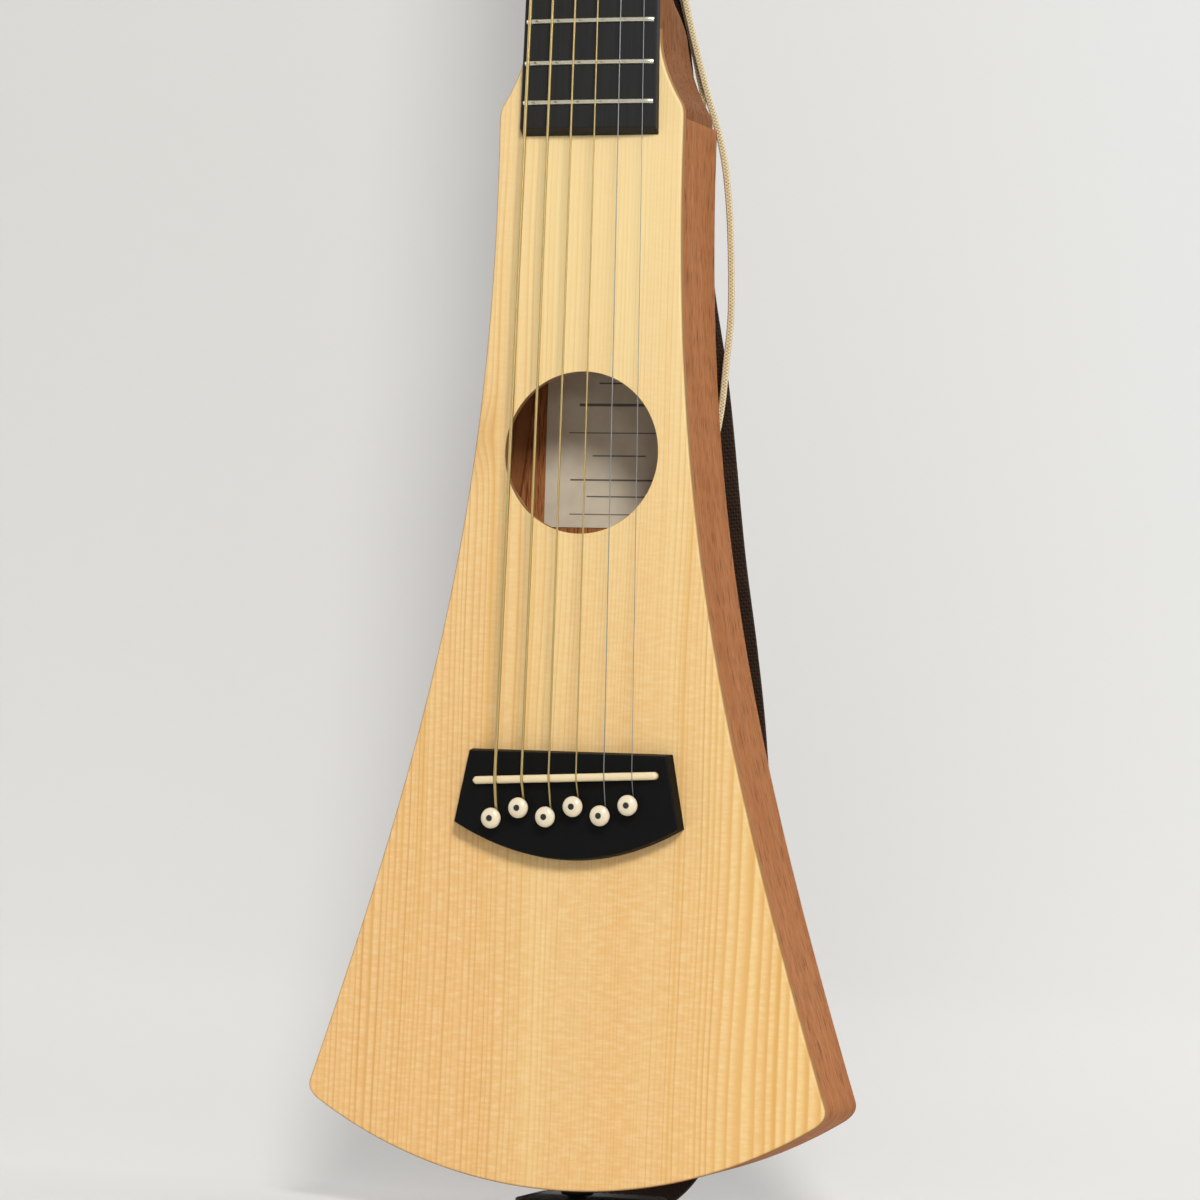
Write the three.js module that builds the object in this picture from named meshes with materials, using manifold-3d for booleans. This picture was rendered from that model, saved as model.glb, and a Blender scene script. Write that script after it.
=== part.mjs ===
// A travel guitar with a slim, flaring body, standing upright. Millimetres, +Z up, the strings towards -Y.
// The origin is the lowest point of the tail, halfway through the body's depth.
import * as THREE from "three";
import { mergeVertices } from "three/addons/utils/BufferGeometryUtils.js";
import Module from "manifold-3d";

const wasm = await Module();
wasm.setup();

// Room between pieces, and how far a cutter runs past what it cuts
const seatGap = 0.3;
const turnGap = 0.3;
const overrun = 1;

// Scale and body
const scaleLength = 609.6;
const saddleLineZ = 161.2;
const bodyDepth = 41.5;
const soundboardThick = 2.75;
const backThick = 2.75;
const sideThick = 2.5;
const tailRadius = 188;
const cornerHalf = 106.4;
const cornerRound = 4.5;
const liningCornerRound = 9;
const flareTopZ = 396.3;
const waistHalf = 37.66;
const shoulderHalf = 37.7;
const shoulderZ = 411.5;
const shoulderRound = 3.8;
const shoulderTuck = 1.4;
const shoulderRise = 2.3;
const shoulderTopZ = 446;
const sweepHandle = 13.5;
const waistHandleShare = 0.38;
const cornerHandleShare = 0.37;
const cornerLeanShare = 0.66;
const soundHoleZ = 282.95;
const soundHoleRadius = 31.1;

// Inside the body
const liningThick = 4.5;
const liningHeight = 7;
const neckBlockHeight = 38;
const tailBlockHalf = 30;
const tailBlockHeight = 20;
const braceWidth = 6;
const braceHeight = 9;
const xBraceZ = 222;
const xBraceDegrees = 36.5;
const transverseBraceZ = 334;
const backBraceHeights = [225, 110];
const backBraceHeight = 8;
const bridgePlateThick = 2.2;
const bridgePlateTopZ = 166;
const bridgePlateLowZ = 128;
const bridgePlateTopHalf = 31;
const bridgePlateLowHalf = 46;
const labelHalf = 28.5;
const labelLowZ = 255.8;
const labelHeight = 76;
const labelThick = 0.3;

// Neck, fingerboard and nut
const nutWidth = 42.9;
const boardEndWidth = 55.4;
const boardTail = 12.4;
const boardThick = 5;
const boardRadius = 406;
const boardEndBevel = 2.7;
const fretCount = 15;
const fretWidth = 2.3;
const fretHeight = 1;
const fretInset = 1;
const fretTang = 1.2;
const nutThick = 4.5;
const nutRise = 1.2;
const neckDepthLow = 21;
const neckDepthNut = 19;
const heelLength = 120;
const rodWidth = 6;
const rodDepth = 9;
const rodLowRoom = 6;
const rodNutRoom = 7;

// Headstock
const headTiltDegrees = 12;
const headLength = 124;
const headThick = 15;
const headCrown = 5;
const headWideHalf = 28.5;
const headTopHalf = 23.5;
const headWideZ = 24;
const headFlareZ = 10;
const headRoot = 6;

// Tuners, placed along and across the headstock
const tunerPlaces = [
  { along: 30, across: 20 },
  { along: 68, across: 18 },
  { along: 106, across: 16 },
];
const postRadius = 3;
const postHeight = 10.5;
const postTip = 0.5;
const windHeight = 6;
const windRise = 3.2;
const gearTeeth = 14;
const gearRadius = 6;
const gearToothDepth = 0.8;
const gearThick = 3.4;
const wormRadius = 2.4;
const wormLength = 8;
const shaftRadius = 1.5;
const housingWall = 1.2;
const housingDepth = 8.5;
const cavityRoom = 0.6;
const knobReach = 11;
const knobLength = 13;
const knobWidth = 12;
const knobThick = 7.5;
const knobCollar = 2.6;
const knobCollarLength = 2.4;

// Bridge, saddle and pins
const bridgeHeight = 6;
const bridgeTopZ = 168.2;
const bridgeTopHalf = 40.75;
const bridgeCornerZ = 139.9;
const bridgeCornerHalf = 46.2;
const bridgeLowZ = 126.4;
const bridgeSplay = 0.7;
const saddleLength = 75;
const saddleThick = 3;
const saddleSunk = 4;
const saddleRise = 10;
const saddleDrop = 3.2;
const saddleShift = 0.3;
const saddleSlantDegrees = 3.1;
const pinRadius = 2.45;
const pinTipRadius = 2;
const pinHeadRadius = 4;
const pinHeadHeight = 2.8;
const pinProud = 2.7;
const pinBelowPlate = 8;
const pinShift = 1.3;
const pinDropNear = 11;
const pinDropFar = 14.7;

// Strings, from the thinnest, on the treble side, to the thickest
const stringDiameters = [0.3, 0.41, 0.61, 0.81, 1.07, 1.35];
const stringSpreadNut = 36;
const stringSpreadSaddle = 55.3;
const stringLift = 0.5;
const stringTail = 4;
const stringBend = 1.6;

// Strap, its fittings and its lace
const webbingWidth = 48;
const webbingThick = 1.8;
const strapSway = 29.1;
const strapBow = 60;
const strapLap = 22;
const strapStartY = 12;
const tailTabHalf = 26;
const tailTabShift = 3;
const tailTabFront = 14;
const tailTabBack = 30;
const tabThick = 2.4;
const tabRound = 9;
const headTabHalf = 20;
const headTabLength = 96;
const headTabRise = 15.2;
const eyeletRadius = 5.1;
const eyeletDepth = 3.1;
const buttonFlangeRadius = 6.5;
const buttonFlangeThick = 2.7;
const buttonNeckRadius = 3.5;
const buttonNeckLength = 6;
const shankRadius = 4.2;
const shankTipRadius = 3.6;
const shankLength = 18;
const sliderBar = 4;
const sliderThick = 1.6;
const sliderWindow = 9;
const sliderRoom = 0.6;
const sliderShare = 0.2;
const laceRadius = 1.35;
const knotHalfX = 6;
const knotHalfY = 4.5;
const knotHalfZ = 6.5;
const knotRise = 5.2;

// Counts of facets
const outlineSteps = { sweep: 6, round: 3, flank: 14, corner: 4, tail: 8 };
const holeSides = 36;
const roundSides = 12;
const stringSides = 8;
const neckSides = 14;

// Planes and places that follow from the sizes
const frontY = -bodyDepth / 2;
const backY = bodyDepth / 2;
const insideFrontY = frontY + soundboardThick;
const insideBackY = backY - backThick;
const nutZ = saddleLineZ + scaleLength;
const headZ = nutZ + nutThick;
const heelZ = shoulderZ + seatGap;
const rodLowZ = shoulderTopZ + rodLowRoom;
const headTilt = THREE.MathUtils.degToRad(headTiltDegrees);
const saddleSlant = THREE.MathUtils.degToRad(saddleSlantDegrees);
const neckBlockLowZ = shoulderZ - neckBlockHeight;
const bridgeTopY = frontY - bridgeHeight;
const buttonTopZ = -seatGap;
const tabTopZ = buttonTopZ - buttonFlangeThick - (buttonNeckLength - tabThick) / 2;
const webbingStartZ = tabTopZ - tabThick - seatGap - webbingThick / 2;
const knotY = frontY + neckDepthNut + seatGap + knotHalfY;
const knotZ = nutZ + knotRise;
const headTabFrontY = knotY + eyeletDepth;
const headTabTopZ = nutZ + headTabRise;
const headTabLowZ = headTabTopZ - headTabLength;
const webbingEndY = headTabFrontY + tabThick + seatGap + webbingThick / 2;

const vec = (x, y, z) => new THREE.Vector3(x, y, z);
const flat = (x, z) => new THREE.Vector2(x, z);
const mix = THREE.MathUtils.lerp;
const fretZ = (number) => saddleLineZ + scaleLength * 2 ** (-number / 12);
const boardEndZ = fretZ(fretCount) - boardTail;

// Turns a closed mesh's faces outwards when they face in.
function facingOut(geometry) {
  const at = geometry.attributes.position;
  const faces = geometry.index;
  const corner = [vec(0, 0, 0), vec(0, 0, 0), vec(0, 0, 0)];
  let volume = 0;
  for (let i = 0; i < faces.count; i += 3) {
    corner.forEach((c, k) => c.fromBufferAttribute(at, faces.getX(i + k)));
    volume += corner[0].dot(corner[1].clone().cross(corner[2]));
  }
  if (volume < 0) {
    for (let i = 0; i < faces.count; i += 3) {
      const second = faces.getX(i + 1);
      faces.setX(i + 1, faces.getX(i + 2));
      faces.setX(i + 2, second);
    }
  }
  return geometry;
}

// A geometry with position only and shared vertices.
function bare(geometry) {
  const plain = geometry.clone();
  plain.deleteAttribute("normal");
  plain.deleteAttribute("uv");
  return facingOut(mergeVertices(plain));
}

// A closed skin over a row of rings that have equally many points, with a flat cap on each end.
function skin(rings) {
  const count = rings[0].length;
  const last = (rings.length - 1) * count;
  const index = [];
  for (let start = 0; start < last; start += count) {
    for (let i = 0; i < count; i++) {
      const a = start + i;
      const b = start + ((i + 1) % count);
      index.push(a, b, a + count);
      index.push(b, b + count, a + count);
    }
  }
  for (let i = 1; i + 1 < count; i++) {
    index.push(0, i + 1, i);
    index.push(last, last + i, last + i + 1);
  }
  const geometry = new THREE.BufferGeometry().setFromPoints(rings.flat());
  geometry.setIndex(index);
  return facingOut(geometry);
}

function solidOf(geometry) {
  const plain = bare(geometry);
  return new wasm.Manifold(
    new wasm.Mesh({
      numProp: 3,
      vertProperties: plain.attributes.position.array,
      triVerts: new Uint32Array(plain.index.array),
    }),
  );
}

function geometryOf(solid) {
  const mesh = solid.getMesh();
  const geometry = new THREE.BufferGeometry();
  geometry.setAttribute("position", new THREE.BufferAttribute(mesh.vertProperties, 3));
  geometry.setIndex(new THREE.BufferAttribute(mesh.triVerts, 1));
  return geometry;
}

function cut(geometry, cutters) {
  return geometryOf(cutters.reduce((solid, cutter) => solid.subtract(solidOf(cutter)), solidOf(geometry)));
}

function join(geometries) {
  return geometryOf(geometries.map(solidOf).reduce((whole, piece) => whole.add(piece)));
}

// A flat board: an outline in x and z, from the face at yFront to the face at yBack.
function board(outline, yFront, yBack, holes = []) {
  const shape = new THREE.Shape(outline);
  shape.holes = holes.map((hole) => new THREE.Path(hole));
  const geometry = new THREE.ExtrudeGeometry(shape, { depth: 1, bevelEnabled: false });
  const at = geometry.attributes.position;
  for (let i = 0; i < at.count; i++) {
    const y = at.getZ(i) > 0 ? yFront : yBack;
    at.setXYZ(i, at.getX(i), y, at.getY(i));
  }
  return bare(geometry);
}

// A block between two opposite corners.
function block(low, high) {
  const size = high.clone().sub(low);
  const middle = low.clone().add(high).divideScalar(2);
  return new THREE.BoxGeometry(size.x, size.y, size.z).translate(middle.x, middle.y, middle.z);
}

// A round rod along y.
function rod(x, z, radius, yFront, yBack, sides = roundSides) {
  const length = yBack - yFront;
  return new THREE.CylinderGeometry(radius, radius, length, sides).translate(x, (yFront + yBack) / 2, z);
}

// A turned piece about the y axis, from pairs of radius and y.
function turned(profile, sides = roundSides) {
  return bare(new THREE.LatheGeometry(profile.map(([radius, y]) => flat(radius, y)), sides));
}

function circle(x, z, radius, sides) {
  const points = [];
  for (let i = 0; i < sides; i++) {
    const angle = (i / sides) * Math.PI * 2;
    points.push(flat(x + radius * Math.cos(angle), z + radius * Math.sin(angle)));
  }
  return points;
}

// Points along a curve between two shares of its length, without the first one.
function stretch(curve, from, to, steps) {
  const points = [];
  for (let i = 1; i <= steps; i++) {
    points.push(curve.getPointAt(mix(from, to, i / steps)));
  }
  return points;
}

// Half the fingerboard's width at a height.
function boardHalfAt(z) {
  return mix(nutWidth, boardEndWidth, (nutZ - z) / (nutZ - boardEndZ)) / 2;
}

// The treble half of the body's outline, from the top of the shoulder down to the middle of the tail, with its corner
// rounded. The linings bend round more widely than the sides' outer face.
function halfOutline(round) {
  const cornerZ = tailRadius - Math.sqrt(tailRadius ** 2 - cornerHalf ** 2);
  const fall = flareTopZ - cornerZ;
  const flare = cornerHalf - waistHalf;
  const corner = flat(cornerHalf, cornerZ);
  const top = flat(boardHalfAt(shoulderTopZ), shoulderTopZ);
  const shoulder = flat(shoulderHalf, shoulderZ);
  const ridge = flat(shoulderHalf - shoulderTuck, shoulderZ + shoulderRound + shoulderRise);
  const sweep = new THREE.QuadraticBezierCurve(top, flat(top.x, top.y - sweepHandle), ridge);
  const roundMiddle = flat(shoulderHalf, shoulderZ + shoulderRound);
  const ledge = new THREE.QuadraticBezierCurve(ridge, roundMiddle, shoulder);
  const flank = new THREE.CubicBezierCurve(
    flat(waistHalf, flareTopZ),
    flat(waistHalf, flareTopZ - fall * waistHandleShare),
    flat(cornerHalf - flare * cornerLeanShare, cornerZ + fall * cornerHandleShare),
    corner,
  );
  const cornerAngle = -Math.acos(cornerHalf / tailRadius);
  const tail = new THREE.EllipseCurve(0, tailRadius, tailRadius, tailRadius, cornerAngle, -Math.PI / 2, true);
  const flankEnd = 1 - round / flank.getLength();
  const tailStart = round / tail.getLength();
  const bend = new THREE.QuadraticBezierCurve(flank.getPointAt(flankEnd), corner, tail.getPointAt(tailStart));
  return [
    top,
    ...stretch(sweep, 0, 1, outlineSteps.sweep),
    ...stretch(ledge, 0, 1, outlineSteps.round),
    flank.getPointAt(0),
    ...stretch(flank, 0, flankEnd, outlineSteps.flank),
    ...stretch(bend, 0, 1, outlineSteps.corner),
    ...stretch(tail, tailStart, 1, outlineSteps.tail),
  ];
}

// A half outline moved inwards by a distance.
function inset(points, distance) {
  return points.map((point, i) => {
    const before = points[Math.max(i - 1, 0)];
    const after = points[Math.min(i + 1, points.length - 1)];
    const along = after.clone().sub(before).normalize();
    const x = i === points.length - 1 ? 0 : point.x + along.y * distance;
    return flat(x, point.y - along.x * distance);
  });
}

// The stretch of a half outline under a height.
function below(points, z) {
  const first = points.findIndex((point) => point.y < z);
  const start = points[first - 1];
  const share = (start.y - z) / (start.y - points[first].y);
  return [start.clone().lerp(points[first], share), ...points.slice(first)];
}

// The stretch of a half outline that lies further out than x.
function beyond(points, x) {
  const last = points.findLastIndex((point) => point.x > x);
  const share = (points[last].x - x) / (points[last].x - points[last + 1].x);
  return [...points.slice(0, last + 1), points[last].clone().lerp(points[last + 1], share)];
}

// The stretch of a half outline that lies nearer to the middle than x.
function within(points, x) {
  const last = points.findLastIndex((point) => point.x > x);
  const share = (points[last].x - x) / (points[last].x - points[last + 1].x);
  return [points[last].clone().lerp(points[last + 1], share), ...points.slice(last + 1)];
}

const halfAt = (points, z) => below(points, z)[0].x;
const mirrored = (points) => points.map((point) => flat(-point.x, point.y)).reverse();
const whole = (half) => [...half, ...mirrored(half).slice(1)];

const outline = halfOutline(cornerRound);
const liningOutline = halfOutline(liningCornerRound);
const innerWall = inset(outline, sideThick);
const blockWall = inset(liningOutline, sideThick + seatGap);
const liningWall = inset(liningOutline, sideThick + seatGap + liningThick);
const clearWall = inset(liningOutline, sideThick + seatGap + liningThick + seatGap);

// How far the curved tops of the fingerboard and saddle fall away at a distance from the middle
const crownFall = (x) => boardRadius - Math.sqrt(boardRadius ** 2 - x ** 2);
const saddleZAt = (x) => saddleLineZ - saddleDrop + (x + saddleShift) * Math.tan(saddleSlant);

// Where each string runs and where its pin and its tuner stand
const headMatrix = new THREE.Matrix4().makeRotationX(-headTilt).setPosition(0, frontY, headZ);
const strings = stringDiameters.map((diameter, i) => {
  const share = i / (stringDiameters.length - 1);
  const radius = diameter / 2;
  const side = share < 0.5 ? 1 : -1;
  const place = tunerPlaces[side > 0 ? i : stringDiameters.length - 1 - i];
  const saddleX = mix(stringSpreadSaddle, -stringSpreadSaddle, share) / 2;
  const nutX = mix(stringSpreadNut, -stringSpreadNut, share) / 2;
  const pinX = saddleX - pinShift;
  const pinZ = saddleZAt(pinX) - (i % 2 === 0 ? pinDropNear : pinDropFar);
  const reach = pinRadius + seatGap + radius;
  return {
    number: i + 1,
    radius,
    side,
    place,
    saddleX,
    nutX,
    pinX,
    pinZ,
    notchZ: pinZ + Math.sqrt(reach ** 2 - pinShift ** 2),
    saddleY: frontY - saddleRise - seatGap - radius + crownFall(saddleX),
    nutY: frontY - boardThick - fretHeight - stringLift - radius + crownFall(nutX),
  };
});

// Cutters for the holes of the pins and of the strings beside them.
function pinCutters(yFront, yBack) {
  return strings.flatMap(({ pinX, pinZ, saddleX, notchZ, radius }) => [
    rod(pinX, pinZ, pinRadius + seatGap, yFront - overrun, yBack + overrun),
    rod(saddleX, notchZ, radius + seatGap, yFront - overrun, yBack + overrun, stringSides),
  ]);
}

function soundboard() {
  const hole = circle(0, soundHoleZ, soundHoleRadius, holeSides);
  return cut(board(whole(outline), frontY, insideFrontY, [hole]), pinCutters(frontY, insideFrontY));
}

function backPlate() {
  return board(whole(below(outline, shoulderZ)), insideBackY, backY);
}

// A cutter along z for the end pin's shank.
function shankCutter() {
  const radius = shankRadius + seatGap;
  const length = 2 * (shankLength + seatGap);
  return new THREE.CylinderGeometry(radius, radius, length, roundSides).rotateX(Math.PI / 2);
}

function side() {
  const outer = beyond(below(outline, shoulderZ), seatGap / 2);
  const inner = beyond(below(innerWall, shoulderZ), seatGap / 2);
  return cut(board([...outer, ...inner.reverse()], insideFrontY, insideBackY), [shankCutter()]);
}

function neckBlock() {
  const wall = below(blockWall, shoulderZ);
  const low = halfAt(blockWall, neckBlockLowZ);
  const half = [...wall.filter((point) => point.y > neckBlockLowZ), flat(low, neckBlockLowZ)];
  return board([...half, ...mirrored(half)], insideFrontY, insideBackY);
}

function tailBlock() {
  const half = [flat(tailBlockHalf, sideThick + tailBlockHeight), ...within(blockWall, tailBlockHalf)];
  return cut(board(whole(half), insideFrontY, insideBackY), [shankCutter()]);
}

function lining(yFront, yBack) {
  const limit = (points) => beyond(below(points, neckBlockLowZ - seatGap), tailBlockHalf + seatGap);
  return board([...limit(blockWall), ...limit(liningWall).reverse()], yFront, yBack);
}

// How far one leg of the cross brace can run from the crossing before its width meets the lining.
function legLength(angle) {
  const along = ({ x, y }) => x * Math.sin(angle) + (y - xBraceZ) * Math.cos(angle);
  const aside = ({ x, y }) => x * Math.cos(angle) - (y - xBraceZ) * Math.sin(angle);
  const reaches = [-braceWidth / 2, braceWidth / 2].map((edge) => {
    const next = clearWall.findIndex((point) => aside(point) > edge);
    const [near, far] = [clearWall[next - 1], clearWall[next]];
    const share = (edge - aside(near)) / (aside(far) - aside(near));
    return mix(along(near), along(far), share);
  });
  return Math.min(...reaches);
}

function crossBar(angle) {
  const bar = block(
    vec(-braceWidth / 2, insideFrontY, -legLength(Math.PI - Math.abs(angle))),
    vec(braceWidth / 2, insideFrontY + braceHeight, legLength(Math.abs(angle))),
  );
  return bar.rotateY(angle).translate(0, 0, xBraceZ);
}

function xBrace() {
  const angle = THREE.MathUtils.degToRad(xBraceDegrees);
  return join([crossBar(angle), crossBar(-angle)]);
}

// A straight brace from wall to wall.
function brace(z, yFront, yBack) {
  const half = Math.min(halfAt(clearWall, z + braceWidth / 2), halfAt(clearWall, z - braceWidth / 2));
  return block(vec(-half, yFront, z - braceWidth / 2), vec(half, yBack, z + braceWidth / 2));
}

function bridgePlate() {
  const half = [flat(bridgePlateTopHalf, bridgePlateTopZ), flat(bridgePlateLowHalf, bridgePlateLowZ)];
  const back = insideFrontY + bridgePlateThick;
  return cut(board([...half, ...mirrored(half)], insideFrontY, back), pinCutters(insideFrontY, back));
}

function label() {
  return block(
    vec(-labelHalf, insideBackY - labelThick, labelLowZ),
    vec(labelHalf, insideBackY, labelLowZ + labelHeight),
  );
}

// How the heel goes over into the neck: share of its length, share of the body's extra depth, squareness
const heelShares = [
  [0, 1, 14],
  [0.22, 1, 13],
  [0.29, 1, 9],
  [0.33, 1, 5.5],
  [0.38, 0.98, 3],
  [0.43, 0.85, 2.2],
  [0.5, 0.62, 2],
  [0.6, 0.36, 2],
  [0.72, 0.16, 2],
  [0.86, 0.04, 2],
  [1, 0, 2],
];

// One D-shaped ring of the neck, flat in front.
function neckRing(z, half, y, depth, squareness) {
  const ring = [];
  for (let i = 0; i <= neckSides; i++) {
    const angle = (i / neckSides) * Math.PI;
    const across = Math.abs(Math.cos(angle)) ** (2 / squareness) * Math.sign(neckSides - 2 * i);
    const back = Math.sin(angle) ** (2 / squareness);
    ring.push(vec(half * across, y + depth * (i === neckSides ? 0 : back), z));
  }
  return ring;
}

function heelRing(z) {
  const share = (z - heelZ) / heelLength;
  const next = Math.max(1, heelShares.findIndex(([along]) => along >= share));
  const [low, high] = [heelShares[next - 1], heelShares[next]];
  const between = (share - low[0]) / (high[0] - low[0]);
  const plain = mix(neckDepthLow, neckDepthNut, (z - heelZ) / (nutZ - heelZ));
  const depth = mix(plain, bodyDepth, mix(low[1], high[1], between));
  const half = z < shoulderTopZ ? halfAt(outline, z) : boardHalfAt(z);
  return neckRing(z, half, frontY, depth, mix(low[2], high[2], between));
}

function headOutline() {
  const half = [
    flat(nutWidth / 2, -headRoot),
    flat(nutWidth / 2, headFlareZ),
    flat(headWideHalf, headWideZ),
    flat(headTopHalf, headLength - headCrown),
  ];
  const crown = new THREE.QuadraticBezierCurve(
    flat(headTopHalf, headLength - headCrown),
    flat(0, headLength + headCrown),
    flat(-headTopHalf, headLength - headCrown),
  );
  return [...half, ...stretch(crown, 0, 1, roundSides).slice(0, -1), ...mirrored(half)];
}

function neck() {
  const shoulder = outline.filter((point) => point.y > heelZ + seatGap).map((point) => point.y);
  const heel = heelShares.map(([along]) => heelZ + along * heelLength);
  const heights = [...heel, ...shoulder.filter((z) => heel.every((known) => Math.abs(known - z) > seatGap))];
  heights.sort((a, b) => a - b);
  const shaft = skin([
    ...heights.map(heelRing),
    neckRing(headZ, boardHalfAt(nutZ), frontY, neckDepthNut, 2),
    neckRing(headZ + headRoot, nutWidth / 2, frontY + headRoot * Math.tan(headTilt), headThick, 2),
  ]);
  const head = board(headOutline(), 0, headThick).applyMatrix4(headMatrix);
  const seat = block(
    vec(-bodyDepth, frontY - overrun, heelZ - overrun),
    vec(bodyDepth, insideFrontY, shoulderTopZ + seatGap),
  );
  const face = block(vec(-bodyDepth, frontY - bodyDepth, rodLowZ), vec(bodyDepth, frontY, headZ));
  const channel = block(
    vec(-rodWidth / 2 - seatGap, frontY - overrun, rodLowZ - seatGap),
    vec(rodWidth / 2 + seatGap, frontY + rodDepth + seatGap, nutZ - rodNutRoom + seatGap),
  );
  const postHoles = strings.map(({ side, place }) =>
    rod(side * place.across, place.along, postRadius + turnGap, -overrun, headThick + overrun),
  );
  postHoles.forEach((hole) => hole.applyMatrix4(headMatrix));
  return cut(join([shaft, head]), [seat, face, channel, ...postHoles]);
}

function reinforcementRod() {
  return block(vec(-rodWidth / 2, frontY, rodLowZ), vec(rodWidth / 2, frontY + rodDepth, nutZ - rodNutRoom));
}

// The crowned face of the fingerboard at a height, from bass to treble.
function boardRing(z, bevel) {
  const half = boardHalfAt(z);
  const ring = [vec(half, frontY, z), vec(-half, frontY, z)];
  for (let i = 0; i <= stringSides; i++) {
    const x = mix(-half, half, i / stringSides);
    ring.push(vec(x, frontY - boardThick + crownFall(x), z + bevel));
  }
  return ring;
}

// A fret's crown with its tang sunk into the board.
function fret(z) {
  const half = boardHalfAt(z) - fretInset;
  const spans = stringSides / 2;
  const rings = [];
  for (let i = 0; i <= spans; i++) {
    const x = mix(-half, half, i / spans);
    const face = frontY - boardThick + crownFall(x);
    rings.push([
      vec(x, face + fretTang, z - fretWidth / 2),
      vec(x, face + fretTang, z + fretWidth / 2),
      vec(x, face - fretHeight / 2, z + fretWidth / 2),
      vec(x, face - fretHeight, z + fretWidth / 6),
      vec(x, face - fretHeight, z - fretWidth / 6),
      vec(x, face - fretHeight / 2, z - fretWidth / 2),
    ]);
  }
  return skin(rings);
}

function fingerboard() {
  const frets = [];
  for (let n = 1; n <= fretCount; n++) {
    frets.push(fret(fretZ(n)));
  }
  return join([skin([boardRing(boardEndZ, boardEndBevel), boardRing(nutZ - seatGap, 0)]), ...frets]);
}

function nut() {
  const half = boardHalfAt(nutZ);
  const topY = frontY - boardThick - fretHeight - nutRise;
  const slots = strings.map(({ nutX, nutY, radius }) =>
    block(
      vec(nutX - radius - seatGap, topY - overrun, nutZ - overrun),
      vec(nutX + radius + seatGap, nutY + radius + seatGap, headZ + overrun),
    ),
  );
  return cut(block(vec(-half, topY, nutZ), vec(half, frontY - seatGap, headZ)), slots);
}

function bridgeOutline(y, drawnIn) {
  const corner = bridgeCornerHalf - drawnIn;
  const top = flat(bridgeTopHalf - drawnIn, bridgeTopZ - drawnIn);
  const low = new THREE.QuadraticBezierCurve(
    flat(corner, bridgeCornerZ),
    flat(0, 2 * (bridgeLowZ + drawnIn) - bridgeCornerZ),
    flat(-corner, bridgeCornerZ),
  );
  const points = [top, flat(corner, bridgeCornerZ), ...stretch(low, 0, 1, roundSides), flat(-top.x, top.y)];
  return points.map((point) => vec(point.x, y, point.y));
}

function bridge() {
  const slot = block(
    vec(-saddleLength / 2 - seatGap, bridgeTopY - overrun, -saddleThick / 2 - seatGap),
    vec(saddleLength / 2 + seatGap, bridgeTopY + saddleSunk + seatGap, saddleThick / 2 + seatGap),
  );
  slot.rotateY(-saddleSlant).translate(-saddleShift, 0, saddleLineZ - saddleDrop);
  const body = skin([bridgeOutline(frontY, 0), bridgeOutline(bridgeTopY, bridgeSplay)]);
  return cut(body, [slot, ...pinCutters(bridgeTopY, frontY)]);
}

// Places along the saddle: shares of its thickness at the rounded ends, shares of its length between them
const saddleEndShares = [0.05, 0.2, 0.5];
const saddleMidShares = [0.2, 0.35, 0.5, 0.65, 0.8];

function saddle() {
  const ends = saddleEndShares.map((share) => ({
    x: share * saddleThick - saddleLength / 2,
    half: (saddleThick / 2) * Math.sqrt(1 - (1 - 2 * share) ** 2),
  }));
  const middle = saddleMidShares.map((share) => ({ x: (share - 0.5) * saddleLength, half: saddleThick / 2 }));
  const far = ends.map(({ x, half }) => ({ x: -x, half })).reverse();
  const rings = [...ends, ...middle, ...far].map(({ x, half }) => {
    const top = frontY - saddleRise + crownFall(x);
    const foot = bridgeTopY + saddleSunk;
    return [
      vec(x, foot, -half),
      vec(x, foot, half),
      vec(x, top + saddleThick * 0.4, half),
      vec(x, top, half / 4),
      vec(x, top, -half / 4),
      vec(x, top + saddleThick * 0.4, -half),
    ];
  });
  return skin(rings);
}

function bridgePin() {
  const tipY = insideFrontY + bridgePlateThick + pinBelowPlate;
  const headY = bridgeTopY - pinProud;
  return turned([
    [0, tipY],
    [pinTipRadius, tipY],
    [pinRadius, bridgeTopY],
    [pinRadius, headY],
    [pinHeadRadius * 0.9, headY],
    [pinHeadRadius, headY - pinHeadHeight * 0.3],
    [pinHeadRadius * 0.75, headY - pinHeadHeight * 0.8],
    [0, headY - pinHeadHeight],
  ]);
}

// A round string along points, mitred at each one.
function wire(points, radius) {
  const start = points[1].clone().sub(points[0]).normalize();
  let across = vec(1, 0, 0).addScaledVector(start, -start.x).normalize();
  const rings = points.map((point, i) => {
    const arrive = point.clone().sub(points[Math.max(i - 1, 0)]).normalize();
    const leave = points[Math.min(i + 1, points.length - 1)].clone().sub(point).normalize();
    const along = arrive.clone().add(leave).normalize();
    across = across.clone().addScaledVector(along, -across.dot(along)).normalize();
    const out = along.clone().cross(across);
    const stretchOut = 1 / Math.sqrt((1 + (i > 0 && i + 1 < points.length ? arrive.dot(leave) : 1)) / 2);
    const ring = [];
    for (let k = 0; k < stringSides; k++) {
      const angle = (k / stringSides) * Math.PI * 2;
      const offset = across.clone().multiplyScalar(Math.cos(angle) * radius);
      ring.push(offset.addScaledVector(out, Math.sin(angle) * radius * stretchOut).add(point));
    }
    return ring;
  });
  return skin(rings);
}

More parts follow.
